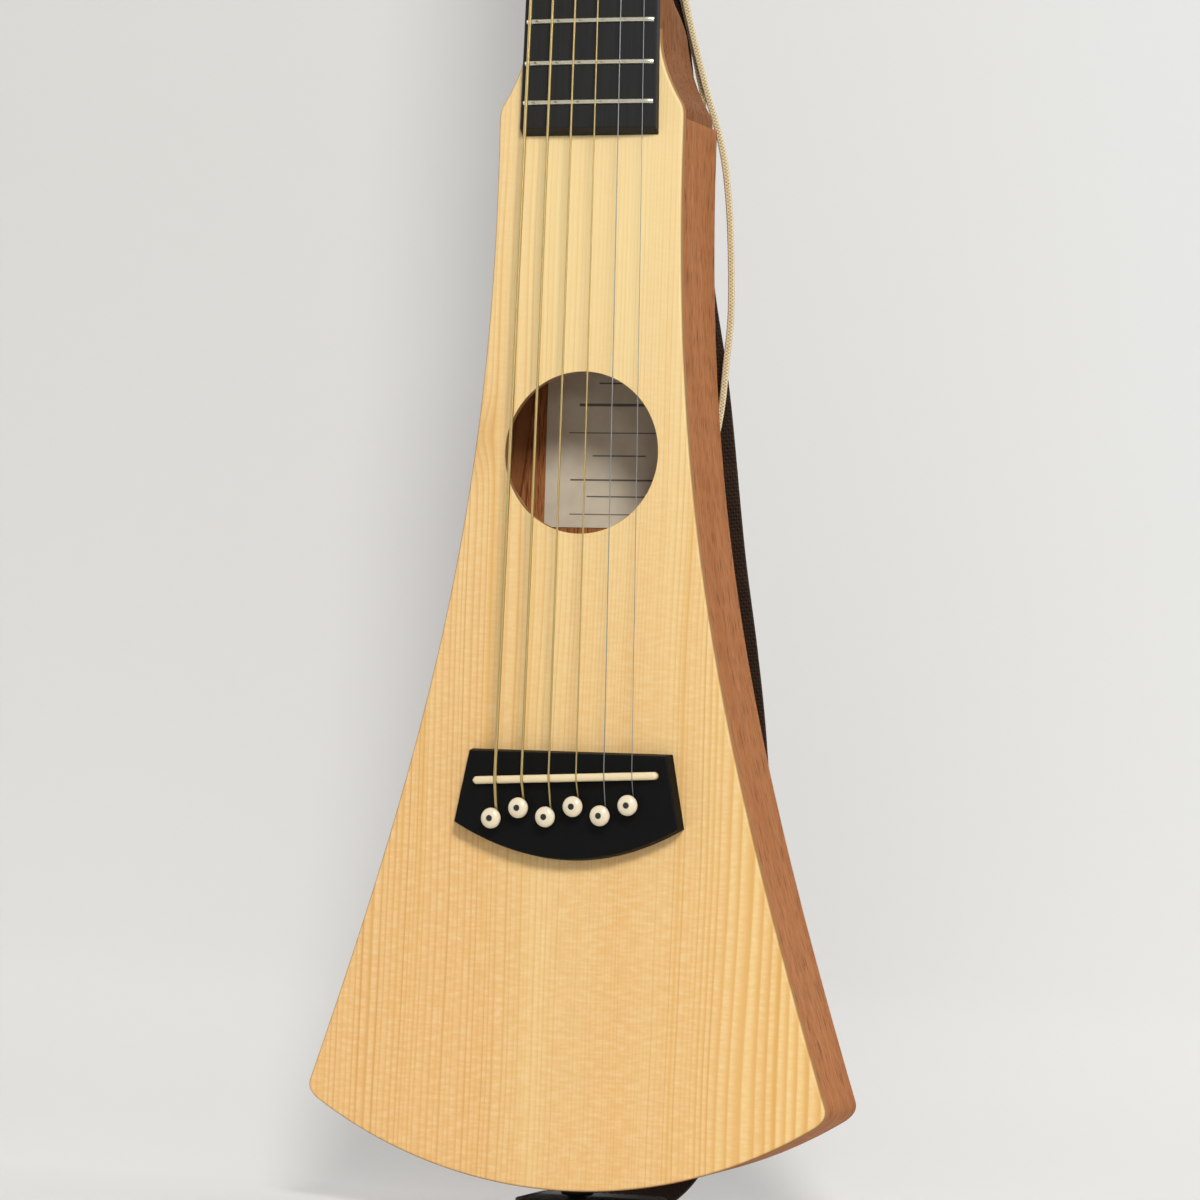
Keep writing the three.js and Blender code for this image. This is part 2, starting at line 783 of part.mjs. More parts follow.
function stringRun({ radius, side, place, saddleX, saddleY, nutX, nutY, notchZ }) {
  const knee = vec(saddleX, bridgeTopY - 2 * seatGap - radius, notchZ);
  const crest = vec(saddleX, saddleY, saddleZAt(saddleX));
  const rise = crest.clone().sub(knee).normalize();
  const bend = new THREE.QuadraticBezierCurve3(
    knee.clone().add(vec(0, stringBend, 0)),
    knee,
    knee.clone().addScaledVector(rise, stringBend),
  );
  const postX = side * (place.across - postRadius - turnGap - radius);
  return wire(
    [
      vec(saddleX, insideFrontY + bridgePlateThick + stringTail, notchZ),
      ...bend.getPoints(3),
      crest,
      vec(nutX, nutY, nutZ),
      vec(nutX, nutY, headZ),
      vec(postX, -windHeight, place.along).applyMatrix4(headMatrix),
    ],
    radius,
  );
}

// Inside a tuner: the worm lies beside the gear wheel, both halfway down the housing
const wormOffset = gearRadius + wormRadius + turnGap;
const housingY = headThick + seatGap;
const gearY = housingY + (housingDepth - housingWall) / 2;
const housingHalf = gearRadius + cavityRoom + housingWall;

function tunerHousing(side) {
  const low = wormOffset + wormRadius + cavityRoom + housingWall;
  const boreRadius = shaftRadius + turnGap;
  const shell = block(
    vec(-housingHalf, housingY, -low),
    vec(housingHalf, housingY + housingDepth, housingHalf),
  );
  const cavity = block(
    vec(housingWall - housingHalf, housingY - overrun, housingWall - low),
    vec(housingHalf - housingWall, housingY + housingDepth - housingWall, housingHalf - housingWall),
  );
  const hole = new THREE.CylinderGeometry(boreRadius, boreRadius, housingHalf, roundSides);
  hole.rotateZ(Math.PI / 2).translate(side * housingHalf, gearY, -wormOffset);
  return cut(shell, [cavity, hole]);
}

function gearOutline() {
  const points = [];
  for (let i = 0; i < gearTeeth * 2; i++) {
    const angle = (i / gearTeeth) * Math.PI;
    const radius = gearRadius - (i % 2) * gearToothDepth;
    points.push(flat(radius * Math.cos(angle), radius * Math.sin(angle)));
  }
  return points;
}

// The string post with its gear wheel, and the string's turns as a plain sleeve.
function tunerPost(radius) {
  const sleeveTop = windHeight - radius - turnGap;
  const sleeve = postRadius + radius * 2;
  const post = turned([
    [0, -postHeight],
    [postRadius - postTip, -postHeight],
    [postRadius, postTip - postHeight],
    [postRadius, -sleeveTop],
    [sleeve, -sleeveTop],
    [sleeve, windRise - sleeveTop],
    [postRadius, windRise - sleeveTop],
    [postRadius, gearY],
    [0, gearY],
  ]);
  return join([post, board(gearOutline(), gearY - gearThick / 2, gearY + gearThick / 2)]);
}

// The button with its shaft and worm, along x.
function tunerButton(side) {
  const collarAt = housingHalf + turnGap;
  const shaft = turned([
    [0, -wormLength / 2],
    [wormRadius, -wormLength / 2],
    [wormRadius, wormLength / 2],
    [shaftRadius, wormLength / 2],
    [shaftRadius, collarAt],
    [knobCollar, collarAt],
    [knobCollar, collarAt + knobCollarLength],
    [shaftRadius, collarAt + knobCollarLength],
    [shaftRadius, knobReach + knobLength / 2],
    [0, knobReach + knobLength / 2],
  ]).rotateZ(-Math.PI / 2);
  const knob = new THREE.SphereGeometry(1, roundSides, roundSides / 2).rotateZ(Math.PI / 2);
  knob.scale(knobLength / 2, knobThick / 2, knobWidth / 2).translate(knobReach + knobLength / 2, 0, 0);
  return join([shaft, knob]).rotateY(side > 0 ? 0 : Math.PI);
}

// Points round a rectangle with round corners, anticlockwise from the low right one.
function roundedRectangle(left, right, low, high, radius) {
  const corners = [
    [right - radius, low + radius, -Math.PI / 2],
    [right - radius, high - radius, 0],
    [left + radius, high - radius, Math.PI / 2],
    [left + radius, low + radius, Math.PI],
  ];
  const quarter = roundSides / 3;
  return corners.flatMap(([x, z, from]) => {
    const points = [];
    for (let i = 0; i <= quarter; i++) {
      const angle = from + (i / quarter) * (Math.PI / 2);
      points.push(flat(x + radius * Math.cos(angle), z + radius * Math.sin(angle)));
    }
    return points;
  });
}

function tailTab() {
  const left = tailTabShift - tailTabHalf;
  const right = tailTabShift + tailTabHalf;
  const shape = new THREE.Shape(roundedRectangle(left, right, -tailTabFront, tailTabBack, tabRound));
  shape.holes.push(new THREE.Path(circle(0, 0, buttonNeckRadius + seatGap, roundSides)));
  const geometry = new THREE.ExtrudeGeometry(shape, { depth: tabThick, bevelEnabled: false });
  return geometry.translate(0, 0, tabTopZ - tabThick);
}

function headTab() {
  const shape = roundedRectangle(-headTabHalf, headTabHalf, headTabLowZ, headTabTopZ, tabRound);
  const hole = circle(0, knotZ, eyeletRadius, roundSides);
  return board(shape, headTabFrontY, headTabFrontY + tabThick, [hole]);
}

// The strap's end pin: a round head under the tab and a shank pressed into the tail.
function strapButton() {
  const neckTop = buttonTopZ - buttonFlangeThick;
  const neckLow = neckTop - buttonNeckLength;
  const low = neckLow - buttonFlangeThick;
  return turned([
    [0, shankLength],
    [shankTipRadius, shankLength],
    [shankRadius, buttonTopZ],
    [buttonFlangeRadius, buttonTopZ],
    [buttonFlangeRadius, neckTop],
    [buttonNeckRadius, neckTop],
    [buttonNeckRadius, neckLow],
    [buttonFlangeRadius, neckLow],
    [buttonFlangeRadius, low + buttonFlangeThick / 3],
    [buttonNeckRadius, low],
    [0, low],
  ]).rotateX(Math.PI / 2);
}

// The strap's middle line: shares of its sway to the treble side, of its bow behind the back, of its rise
const strapShares = [
  [0, 0.06, 0],
  [0, 0.3, 0],
  [0.05, 0.47, 0.004],
  [0.22, 0.69, 0.019],
  [0.54, 0.9, 0.058],
  [0.83, 1, 0.11],
  [0.97, 0.88, 0.18],
  [1, 0.62, 0.255],
  [0.94, 0.46, 0.303],
  [0.83, 0.32, 0.352],
  [0.62, 0.18, 0.443],
  [0.41, 0.145, 0.493],
  [0.18, 0.14, 0.562],
  [-0.06, 0.138, 0.634],
  [-0.19, 0.125, 0.67],
  [-0.2, 0.085, 0.73],
  [-0.17, 0.03, 0.77],
  [-0.12, -0.04, 0.83],
  [-0.06, -0.115, 0.9],
];

function strapCurve() {
  const topZ = headTabLowZ + strapLap;
  const points = strapShares.map(([sway, bow, rise]) =>
    vec(strapSway * sway, backY + strapBow * bow, mix(webbingStartZ, topZ, rise)),
  );
  points.unshift(vec(0, strapStartY, webbingStartZ));
  points.push(vec(0, webbingEndY, headTabLowZ - strapLap / 2), vec(0, webbingEndY, topZ));
  return new THREE.CatmullRomCurve3(points, false, "centripetal");
}

// The strap's frame at a share of its length: across, out of its face and along.
function strapFrame(curve, share) {
  const along = curve.getTangentAt(share);
  const across = vec(1, 0, 0).addScaledVector(along, -along.x).normalize();
  const out = along.clone().cross(across);
  return new THREE.Matrix4().makeBasis(across, out, along).setPosition(curve.getPointAt(share));
}

const strapSteps = 68;

function strapWebbing(curve) {
  const rings = [];
  for (let i = 0; i <= strapSteps; i++) {
    const frame = strapFrame(curve, i / strapSteps);
    const ring = [
      vec(-webbingWidth / 2, -webbingThick / 2, 0),
      vec(webbingWidth / 2, -webbingThick / 2, 0),
      vec(webbingWidth / 2, webbingThick / 2, 0),
      vec(-webbingWidth / 2, webbingThick / 2, 0),
    ];
    rings.push(ring.map((point) => point.applyMatrix4(frame)));
  }
  return skin(rings);
}

// The three-bar slider: its outer bars lie on one face of the webbing and its middle bar on the other.
function strapSlider() {
  const inner = webbingWidth / 2 + sliderRoom;
  const outer = inner + sliderBar;
  const face = webbingThick / 2 + sliderRoom;
  const high = face + sliderThick;
  const reach = sliderBar / 2 + sliderWindow;
  return join([
    block(vec(-outer, -high, -reach - sliderBar), vec(-inner, high, reach + sliderBar)),
    block(vec(inner, -high, -reach - sliderBar), vec(outer, high, reach + sliderBar)),
    block(vec(-outer, face, -reach - sliderBar), vec(outer, high, -reach)),
    block(vec(-outer, face, reach), vec(outer, high, reach + sliderBar)),
    block(vec(-outer, -high, -sliderBar / 2), vec(outer, -face, sliderBar / 2)),
  ]);
}

// The lace round the headstock, from the knot's treble side to its bass side, with heights above the nut
const tieRoute = [
  [6.25, 3, 6.4],
  [11, 2.6, 7.2],
  [16, 1.2, 8],
  [21.4, -1.5, 9],
  [23.1, -4.2, 9.5],
  [23.3, -8, 10.1],
  [23.3, -13, 11],
  [23.2, -18.2, 12],
  [22.4, -20.4, 12.4],
  [20.4, -21.2, 12.7],
  [14, -21.2, 12.9],
  [0, -21.2, 13],
  [-14, -21.2, 12.9],
  [-20.4, -21.2, 12.7],
  [-22.4, -20.4, 12.4],
  [-23.2, -18.2, 12],
  [-23.3, -13, 11],
  [-23.3, -8, 10.1],
  [-23.1, -4.2, 9.5],
  [-21.4, -1.5, 9],
  [-16, 1.2, 8],
  [-11, 2.6, 7.2],
  [-6.25, 3, 6.4],
];

// The lace's free loop, which hangs from the knot behind the neck and turns back up behind the body
const laceRoute = [
  [2.6, 3, -1.4],
  [2.7, 3, -8.8],
  [4.3, 4.4, -78.8],
  [5.2, 6.4, -102.8],
  [6.5, 9.5, -130.8],
  [9.2, 13.8, -180.8],
  [12.3, 17.8, -225.8],
  [14.8, 20.2, -255.8],
  [18, 21.9, -285.8],
  [22.3, 22.4, -307.6],
  [30.9, 22.5, -339.2],
  [39.4, 22.6, -366.8],
  [42.5, 22.6, -386.3],
  [44.2, 22.6, -409.8],
  [44.7, 22.6, -433.2],
  [43.5, 22.6, -448.8],
  [41.7, 22.7, -469.1],
  [38.3, 22.8, -484.8],
  [32.6, 22.9, -497.3],
  [25.3, 23, -502.8],
  [17.5, 23, -499.3],
  [11.6, 23, -488.8],
  [8.6, 23.1, -468.8],
  [9, 23.3, -435.8],
  [13, 23.8, -404.8],
  [20.5, 24.5, -376.8],
  [27.5, 24.9, -359.8],
  [30, 25, -346.3],
  [27.9, 25, -336.3],
  [25.2, 25, -324.8],
  [20.8, 24.9, -307.6],
  [15.5, 24, -285.8],
  [10.3, 21.6, -255.8],
  [6.8, 18.4, -225.8],
  [3.4, 14, -180.8],
  [0.6, 9.8, -130.8],
  [-0.3, 6.4, -102.8],
  [-1.6, 4.4, -78.8],
  [-2.6, 3, -8.8],
  [-2.6, 3, -1.4],
];

// A lace along a route.
function cord(route, steps) {
  const points = route.map(([x, y, z]) => vec(x, y, nutZ + z));
  const path = new THREE.CatmullRomCurve3(points, false, "centripetal");
  const section = new THREE.Shape(circle(0, 0, laceRadius, stringSides));
  return new THREE.ExtrudeGeometry(section, { steps, bevelEnabled: false, extrudePath: path });
}

const laceSteps = 80;
const tieSteps = 36;

// Finishes: colour, roughness, metalness
const finishes = {
  spruce: [0xe3c08c, 0.45, 0],
  mahogany: [0x8a4f33, 0.5, 0],
  softwood: [0xc9a877, 0.7, 0],
  blackBoard: [0x1c1c1d, 0.6, 0],
  bone: [0xe9dfc8, 0.4, 0],
  paper: [0xd9d3c4, 0.9, 0],
  steel: [0xb9bbbd, 0.3, 1],
  bronze: [0xb08a4a, 0.35, 1],
  chrome: [0xcfd2d5, 0.15, 1],
  webbing: [0x17171a, 0.95, 0],
  leather: [0x1f1b19, 0.8, 0],
  plastic: [0x121213, 0.4, 0],
  lace: [0xcdb588, 0.9, 0],
};
const materials = Object.fromEntries(
  Object.entries(finishes).map(([name, [color, roughness, metalness]]) => [
    name,
    new THREE.MeshStandardMaterial({ name, color, roughness, metalness }),
  ]),
);

function piece(name, geometry, finish) {
  const mesh = new THREE.Mesh(geometry, materials[finish]);
  mesh.name = name;
  return mesh;
}

const bassSide = side();
bassSide.scale(-1, 1, 1);
const liningFront = lining(insideFrontY, insideFrontY + liningHeight);
const liningBack = lining(insideBackY - liningHeight, insideBackY);
const otherHand = (geometry) => facingOut(geometry.clone().scale(-1, 1, 1));

const body = new THREE.Group();
body.add(
  piece("soundboard", soundboard(), "spruce"),
  piece("back_plate", backPlate(), "mahogany"),
  piece("side_treble", side(), "mahogany"),
  piece("side_bass", facingOut(bassSide), "mahogany"),
  piece("neck_block", neckBlock(), "mahogany"),
  piece("tail_block", tailBlock(), "mahogany"),
  piece("lining_front_treble", liningFront, "mahogany"),
  piece("lining_front_bass", otherHand(liningFront), "mahogany"),
  piece("lining_back_treble", liningBack, "mahogany"),
  piece("lining_back_bass", otherHand(liningBack), "mahogany"),
  piece("x_brace", xBrace(), "softwood"),
  piece("transverse_brace", brace(transverseBraceZ, insideFrontY, insideFrontY + braceHeight), "softwood"),
  piece("bridge_plate", bridgePlate(), "mahogany"),
  piece("label", label(), "paper"),
);
const backBraceNames = ["back_brace_upper", "back_brace_lower"];
backBraceHeights.forEach((z, i) => {
  body.add(piece(backBraceNames[i], brace(z, insideBackY - backBraceHeight, insideBackY), "softwood"));
});

const neckGroup = new THREE.Group();
neckGroup.add(
  piece("neck", neck(), "mahogany"),
  piece("reinforcement_rod", reinforcementRod(), "steel"),
  piece("fingerboard", fingerboard(), "blackBoard"),
  piece("nut", nut(), "bone"),
);

const bridgeGroup = new THREE.Group();
const saddleMesh = piece("saddle", saddle(), "bone");
saddleMesh.position.set(-saddleShift, 0, saddleLineZ - saddleDrop);
saddleMesh.rotation.y = -saddleSlant;
bridgeGroup.add(piece("bridge", bridge(), "blackBoard"), saddleMesh);

const head = new THREE.Group();
head.position.set(0, frontY, headZ);
head.rotation.x = -headTilt;

const stringGroup = new THREE.Group();
strings.forEach((string) => {
  const { number, radius, side, place, pinX, pinZ } = string;
  const pin = piece("bridge_pin_" + number, bridgePin(), "bone");
  pin.position.set(pinX, 0, pinZ);
  bridgeGroup.add(pin);

  stringGroup.add(piece("string_" + number, stringRun(string), number > 2 ? "bronze" : "steel"));

  const tuner = new THREE.Group();
  tuner.position.set(side * place.across, 0, place.along);
  const button = piece("tuner_button_" + number, tunerButton(side), "chrome");
  button.position.set(0, gearY, -wormOffset);
  tuner.add(
    piece("tuner_housing_" + number, tunerHousing(side), "chrome"),
    piece("tuner_post_" + number, tunerPost(radius), "chrome"),
    button,
  );
  head.add(tuner);
});

const strap = new THREE.Group();
const middleLine = strapCurve();
const slider = piece("strap_slider", strapSlider(), "plastic");
slider.applyMatrix4(strapFrame(middleLine, sliderShare));
const knot = piece("lace_knot", new THREE.IcosahedronGeometry(1, 2), "lace");
knot.position.set(0, knotY, knotZ);
knot.scale.set(knotHalfX, knotHalfY, knotHalfZ);
strap.add(
  piece("strap_webbing", strapWebbing(middleLine), "webbing"),
  slider,
  piece("strap_tail_tab", tailTab(), "leather"),
  piece("strap_head_tab", headTab(), "leather"),
  piece("strap_button", strapButton(), "plastic"),
  piece("lace_tie", cord(tieRoute, tieSteps), "lace"),
  piece("lace_cord", cord(laceRoute, laceSteps), "lace"),
  knot,
);

const guitar = new THREE.Group();
guitar.name = "travel_guitar";
guitar.add(body, neckGroup, bridgeGroup, stringGroup, head, strap);
guitar.traverse((object) => {
  if (object.isMesh) {
    object.geometry.computeVertexNormals();
  }
});

export default guitar;
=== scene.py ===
"""Looks of the travel guitar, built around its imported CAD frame. Sizes are in millimetres until a mesh is made."""
import math

import bpy
import numpy as np
from mathutils import Matrix, Vector
from mathutils.geometry import tessellate_polygon


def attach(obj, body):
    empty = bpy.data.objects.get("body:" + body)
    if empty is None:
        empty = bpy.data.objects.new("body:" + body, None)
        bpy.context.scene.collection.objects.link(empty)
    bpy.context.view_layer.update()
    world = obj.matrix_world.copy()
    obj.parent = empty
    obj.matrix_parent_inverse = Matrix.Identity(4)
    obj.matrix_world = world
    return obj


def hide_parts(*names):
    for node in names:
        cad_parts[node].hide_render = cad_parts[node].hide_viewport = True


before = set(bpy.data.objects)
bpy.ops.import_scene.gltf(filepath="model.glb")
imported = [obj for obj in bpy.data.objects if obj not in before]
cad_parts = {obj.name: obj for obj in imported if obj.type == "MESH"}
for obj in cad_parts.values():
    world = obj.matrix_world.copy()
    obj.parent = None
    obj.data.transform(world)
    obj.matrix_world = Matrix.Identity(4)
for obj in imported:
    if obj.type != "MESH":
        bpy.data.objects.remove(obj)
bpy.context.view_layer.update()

bpy.context.scene.view_settings.view_transform = "Standard"
MM = 0.001

# Sizes shared with the CAD source
FRONT_Y, BACK_Y = -20.75, 20.75
INSIDE_FRONT_Y, INSIDE_BACK_Y = -18.0, 18.0
SADDLE_Z, SCALE = 161.2, 609.6
NUT_Z, HEAD_Z = 770.8, 775.3
SHOULDER_Z, SHOULDER_TOP_Z = 411.5, 446.0
HEEL_Z, HEEL_LENGTH = 411.8, 120.0
BODY_DEPTH, NECK_DEPTH_LOW, NECK_DEPTH_NUT = 41.5, 21.0, 19.0
NUT_WIDTH, BOARD_WIDTH, BOARD_THICK, BOARD_RADIUS = 42.9, 55.4, 5.0, 406.0
FRET_COUNT, FRET_WIDTH, FRET_HEIGHT = 15, 2.3, 1.0
BOARD_END_Z = SADDLE_Z + SCALE * 2 ** (-FRET_COUNT / 12) - 12.4
SOUND_HOLE_Z, SOUND_HOLE_RADIUS = 282.95, 31.1
SIDE_THICK, LINING_THICK, LINING_HEIGHT, SEAT_GAP = 2.5, 4.5, 7.0, 0.3
BRIDGE_TOP_Y = FRONT_Y - 6
SADDLE_SLANT = math.radians(3.1)
HEAD_TILT = math.radians(12)
HEAD_LENGTH, HEAD_THICK, HEAD_ROOT = 124.0, 15.0, 6.0
TUNER_PLACES = [(30, 20), (68, 18), (106, 16)]
GEAR_Y, WORM_OFFSET, HOUSING_HALF = 18.95, 8.7, 7.8
STRING_DIAMETERS = [0.3, 0.41, 0.61, 0.81, 1.07, 1.35]
PLAIN_STRINGS = 2
KNOT = (0, 3.05, 776.0)
SADDLE_X, SADDLE_DROP = -0.3, 3.2
PIN_HOLE_RADIUS, PIN_SHIFT = 2.75, 1.3
TAB_THICK, TAB_ROUND, TAB_EDGE_SEAM = 2.4, 9, 2.6

# How a string sits on its post: the radius of its turns without its own, the radius at which it arrives, where the
# turns start, and the place and direction of the hole above them
POST_RADIUS, ARRIVAL_RADIUS = 3.03, 3.05
TURNS_HEIGHT, TURNS_COUNT = 5.55, 3
HOLE_ABOVE_TURNS, HOLE_ANGLE = 2.0, 2.3

# Camera: its place, its turns about the object's axes, and its lens, solved from the photo
CAMERA_PLACE = (0.61214, -1.71351, 0.18203)
CAMERA_TURNS = (-0.0247342, -0.342021, -0.0295439)
CAMERA_LENS = 140.774


def add_camera():
    tilt, swing, roll = CAMERA_TURNS
    turn = Matrix.Rotation(roll, 3, "Z") @ Matrix.Rotation(tilt, 3, "X") @ Matrix.Rotation(swing, 3, "Y")
    axes = [Vector((row[0], -row[2], row[1])) for row in turn]
    data = bpy.data.cameras.new("camera")
    data.sensor_width = 36
    data.lens = CAMERA_LENS
    data.clip_end = 20
    camera = bpy.data.objects.new("camera", data)
    camera.matrix_world = Matrix.LocRotScale(Vector(CAMERA_PLACE), Matrix(axes).transposed().to_quaternion(), None)
    bpy.context.scene.collection.objects.link(camera)
    bpy.context.scene.camera = camera


add_camera()


# ---------------------------------------------------------------- materials
class Value:
    """A number, colour or vector in a material's nodes, which Python's own signs add, subtract, multiply and divide."""

    def __init__(self, shade, socket):
        self.shade, self.socket = shade, socket

    def __add__(self, other):
        return self.shade.calc("ADD", self, other)

    def __sub__(self, other):
        return self.shade.calc("SUBTRACT", self, other)

    def __rsub__(self, other):
        return self.shade.calc("SUBTRACT", other, self)

    def __mul__(self, other):
        return self.shade.calc("MULTIPLY", self, other)

    def __truediv__(self, other):
        return self.shade.calc("DIVIDE", self, other)


class Shade:
    """Builds the nodes of a new material, given its name, or of the world."""

    def __init__(self, owner):
        self.owner = bpy.data.materials.new(owner) if isinstance(owner, str) else owner
        self.owner.use_nodes = True
        self.tree = self.owner.node_tree
        self.tree.nodes.clear()

    def node(self, kind, values, **settings):
        made = self.tree.nodes.new(kind)
        for key, value in settings.items():
            setattr(made, key, value)
        for key, value in values.items():
            self.put(made.inputs[key], value)
        return made

    def value(self, kind, values, output=0, **settings):
        return Value(self, self.node(kind, values, **settings).outputs[output])

    def put(self, socket, value):
        if isinstance(value, Value):
            self.tree.links.new(value.socket, socket)
        elif isinstance(value, (tuple, list)) and len(value) == 3 and socket.type == "RGBA":
            socket.default_value = (*value, 1)
        else:
            socket.default_value = value

    def place(self, run=False):
        """The point on the object in millimetres, or the place along and across a piece that carries its own run."""
        if run:
            return self.scaled(self.value("ShaderNodeUVMap", {}, uv_map="run"), (1 / MM, 1 / MM, 0))
        return self.scaled(self.value("ShaderNodeTexCoord", {}, "Object"), (1 / MM, 1 / MM, 1 / MM))

    def scaled(self, vector, factors):
        return self.value("ShaderNodeVectorMath", {0: vector, 1: factors}, operation="MULTIPLY")

    def split(self, vector):
        return [Value(self, part) for part in self.node("ShaderNodeSeparateXYZ", {0: vector}).outputs]

    def vector(self, x, y, z):
        return self.value("ShaderNodeCombineXYZ", {0: x, 1: y, 2: z})

    def calc(self, kind, *values):
        return self.value("ShaderNodeMath", dict(enumerate(values)), operation=kind)

    def noise(self, vector, scale=1.0, detail=2.0, roughness=0.5):
        values = {"Vector": vector, "Scale": scale, "Detail": detail, "Roughness": roughness}
        return self.value("ShaderNodeTexNoise", values)

    def span(self, value, low, high, to_low=0.0, to_high=1.0, smooth=False):
        kind = "SMOOTHSTEP" if smooth else "LINEAR"
        values = {"Value": value, "From Min": low, "From Max": high, "To Min": to_low, "To Max": to_high}
        return self.value("ShaderNodeMapRange", values, interpolation_type=kind)

    def mix(self, factor, first, second):
        """A colour between two. In colour mode, the node's colours are its inputs 6 and 7 and its output 2."""
        made = self.node("ShaderNodeMix", {}, data_type="RGBA")
        for index, value in ((0, factor), (6, first), (7, second)):
            self.put(made.inputs[index], value)
        return Value(self, made.outputs[2])

    def bump(self, height, distance, strength=1.0):
        values = {"Height": height, "Distance": distance * MM, "Strength": strength}
        return self.value("ShaderNodeBump", values)

    def background_rays(self):
        """One where a ray shall see the background in its own colour."""
        kinds = "Camera", "Glossy", "Transmission"
        rays = [self.value("ShaderNodeLightPath", {}, "Is %s Ray" % kind) for kind in kinds]
        return self.calc("MINIMUM", rays[0] + rays[1] + rays[2], 1.0)

    def finish(self, **values):
        names = {key.replace("_", " ").title().replace("Ior", "IOR"): value for key, value in values.items()}
        self.node("ShaderNodeOutputMaterial", {"Surface": self.value("ShaderNodeBsdfPrincipled", names)})
        return self.owner


def toned(color, factor):
    return tuple(v * factor for v in color)


def spruce():
    """The soundboard's pale wood, with the rings, bands and silk that the photo shows."""
    s = Shade("spruce")
    x, y, z = s.split(s.place())

    def swirl(wide, high):
        across = (x + 45.0) / wide
        up = (z - 290.0) / high
        far = across * across + up * up
        return s.calc("EXPONENT", far * -1.0)

    # The year rings lean on the bass side, wander a little and run round a small swirl beside the sound hole.
    lean = s.span(x, -95.0, -40.0, 0.028, 0.008)
    warp = s.noise(s.vector(x * 0.02, 0.0, z * 0.006), 1.0, 1.0)
    knot = swirl(8.0, 13.0)
    moves = (lean * (100.0 - z), s.span(warp, 0.0, 1.0, -2.5, 2.5), knot * 4.5)
    bent = x
    for move in moves:
        bent = bent + move
    # They stand closest a little right of the middle and widest at the treble edge.
    phase = bent * 0.42 + s.span(bent, -18.0, 58.0, 0.0, 11.0, smooth=True)
    phase = phase - s.calc("MAXIMUM", bent - 60.0, 0.0) * 0.17
    uneven = s.noise(s.vector(bent * 0.16, 0.0, z * 0.001), 1.0, 1.0)
    bunch = s.noise(s.vector(bent * 0.05, 4.0, z * 0.0005), 1.0, 1.0)
    # Near the treble edge the rings are even, soft bands with hardly a line.
    treble = s.span(x, 45.0, 75.0)
    wander = uneven * s.span(treble, 0.0, 1.0, 1.5, 0.3) + bunch * s.span(treble, 0.0, 1.0, 4.0, 1.5)
    phase = phase + wander
    ring = s.calc("FRACT", phase)
    end = s.span(ring, 0.9, 1.0, 1.0, 0.0)
    broad = s.span(ring, 0.15, 0.85, smooth=True) * end
    late = s.span(ring, 0.5, 0.88, smooth=True) * s.span(ring, 0.86, 1.0, 1.0, 0.0, smooth=True)
    number = s.vector(s.calc("FLOOR", phase) * 1.37, 3.0, z * 0.004)
    strength = s.span(s.noise(number, 1.0, 0.0), 0.34, 0.68, 0.4, 1.0)
    edge = s.span(s.calc("ABSOLUTE", x - 8.0), 12.0, 62.0, 0.5, 1.0, smooth=True)
    edge = edge * s.span(z, 230.0, 400.0, 1.0, 0.35)
    line = late * (strength * strength) * edge
    line = line * s.span(treble, 0.0, 1.0, 1.0, 0.45)
    band = s.noise(s.vector(bent * 0.07, 0.0, z * 0.002), 1.0, 1.0)
    silk = s.noise(s.vector(x * 0.16, 0.0, z * 0.62), 1.0, 3.0, 0.6)
    fibre = s.noise(s.vector(x * 4.0, y, z * 0.1), 1.0, 2.0, 0.6)
    low = s.span(z, 60.0, 380.0, 1.0, 0.0, smooth=True)
    color = s.mix(low, (0.98, 0.77, 0.385), (0.87, 0.56, 0.235))
    pale = s.span(s.calc("ABSOLUTE", x + 13.0), 0.0, 9.0, 0.7, 0.0, smooth=True) * low
    color = s.mix(pale, color, (0.92, 0.66, 0.29))
    color = s.mix(s.span(x, -45.0, -20.0, 0.3, 0.0), color, (0.90, 0.50, 0.21))
    color = s.mix(treble * 0.7, color, (0.93, 0.66, 0.28))
    warm = s.span(band, 0.35, 0.65, 0.0, 0.55) * s.span(low, 0.0, 1.0, 0.35, 1.0)
    color = s.mix(warm, color, (0.86, 0.50, 0.19))
    color = s.mix(s.span(silk, 0.42, 0.66, 0.0, 0.42), color, (0.98, 0.77, 0.42))
    soft = edge * s.span(treble, 0.0, 1.0, 0.34, 0.85)
    color = s.mix(broad * soft, color, (0.84, 0.47, 0.145))
    gold = s.noise(s.vector(bent * 0.33, 9.0, z * 0.002), 1.0, 0.0)
    color = s.mix(s.span(gold, 0.6, 0.74, 0.0, 0.5) * edge, color, (0.80, 0.45, 0.11))
    color = s.mix(line * 0.62, color, (0.64, 0.30, 0.075))
    color = s.mix(s.span(fibre, 0.4, 0.75, 0.0, 0.14), color, (0.70, 0.42, 0.16))
    color = s.mix(swirl(10.0, 16.0) * 0.38, color, (0.62, 0.31, 0.08))
    # Painted shade: the board's rounded edge is coloured darker than its face, which also dims the light that the edge
    # catches.
    facing = s.split(s.value("ShaderNodeNewGeometry", {}, "Normal"))[1]
    flat = s.span(s.calc("ABSOLUTE", facing), 0.5, 0.95)
    color = s.mix(s.span(flat, 0.0, 1.0, 0.9, 0.0), color, (0.30, 0.14, 0.05))
    height = fibre * 0.5 - line * 0.3
    rough = s.calc("MAXIMUM", s.span(silk, 0.3, 0.7, 0.44, 0.38), s.span(flat, 0.0, 1.0, 0.95, 0.38))
    return s.finish(base_color=color, roughness=rough, normal=s.bump(height, 0.02, 0.3), specular_ior_level=0.25)


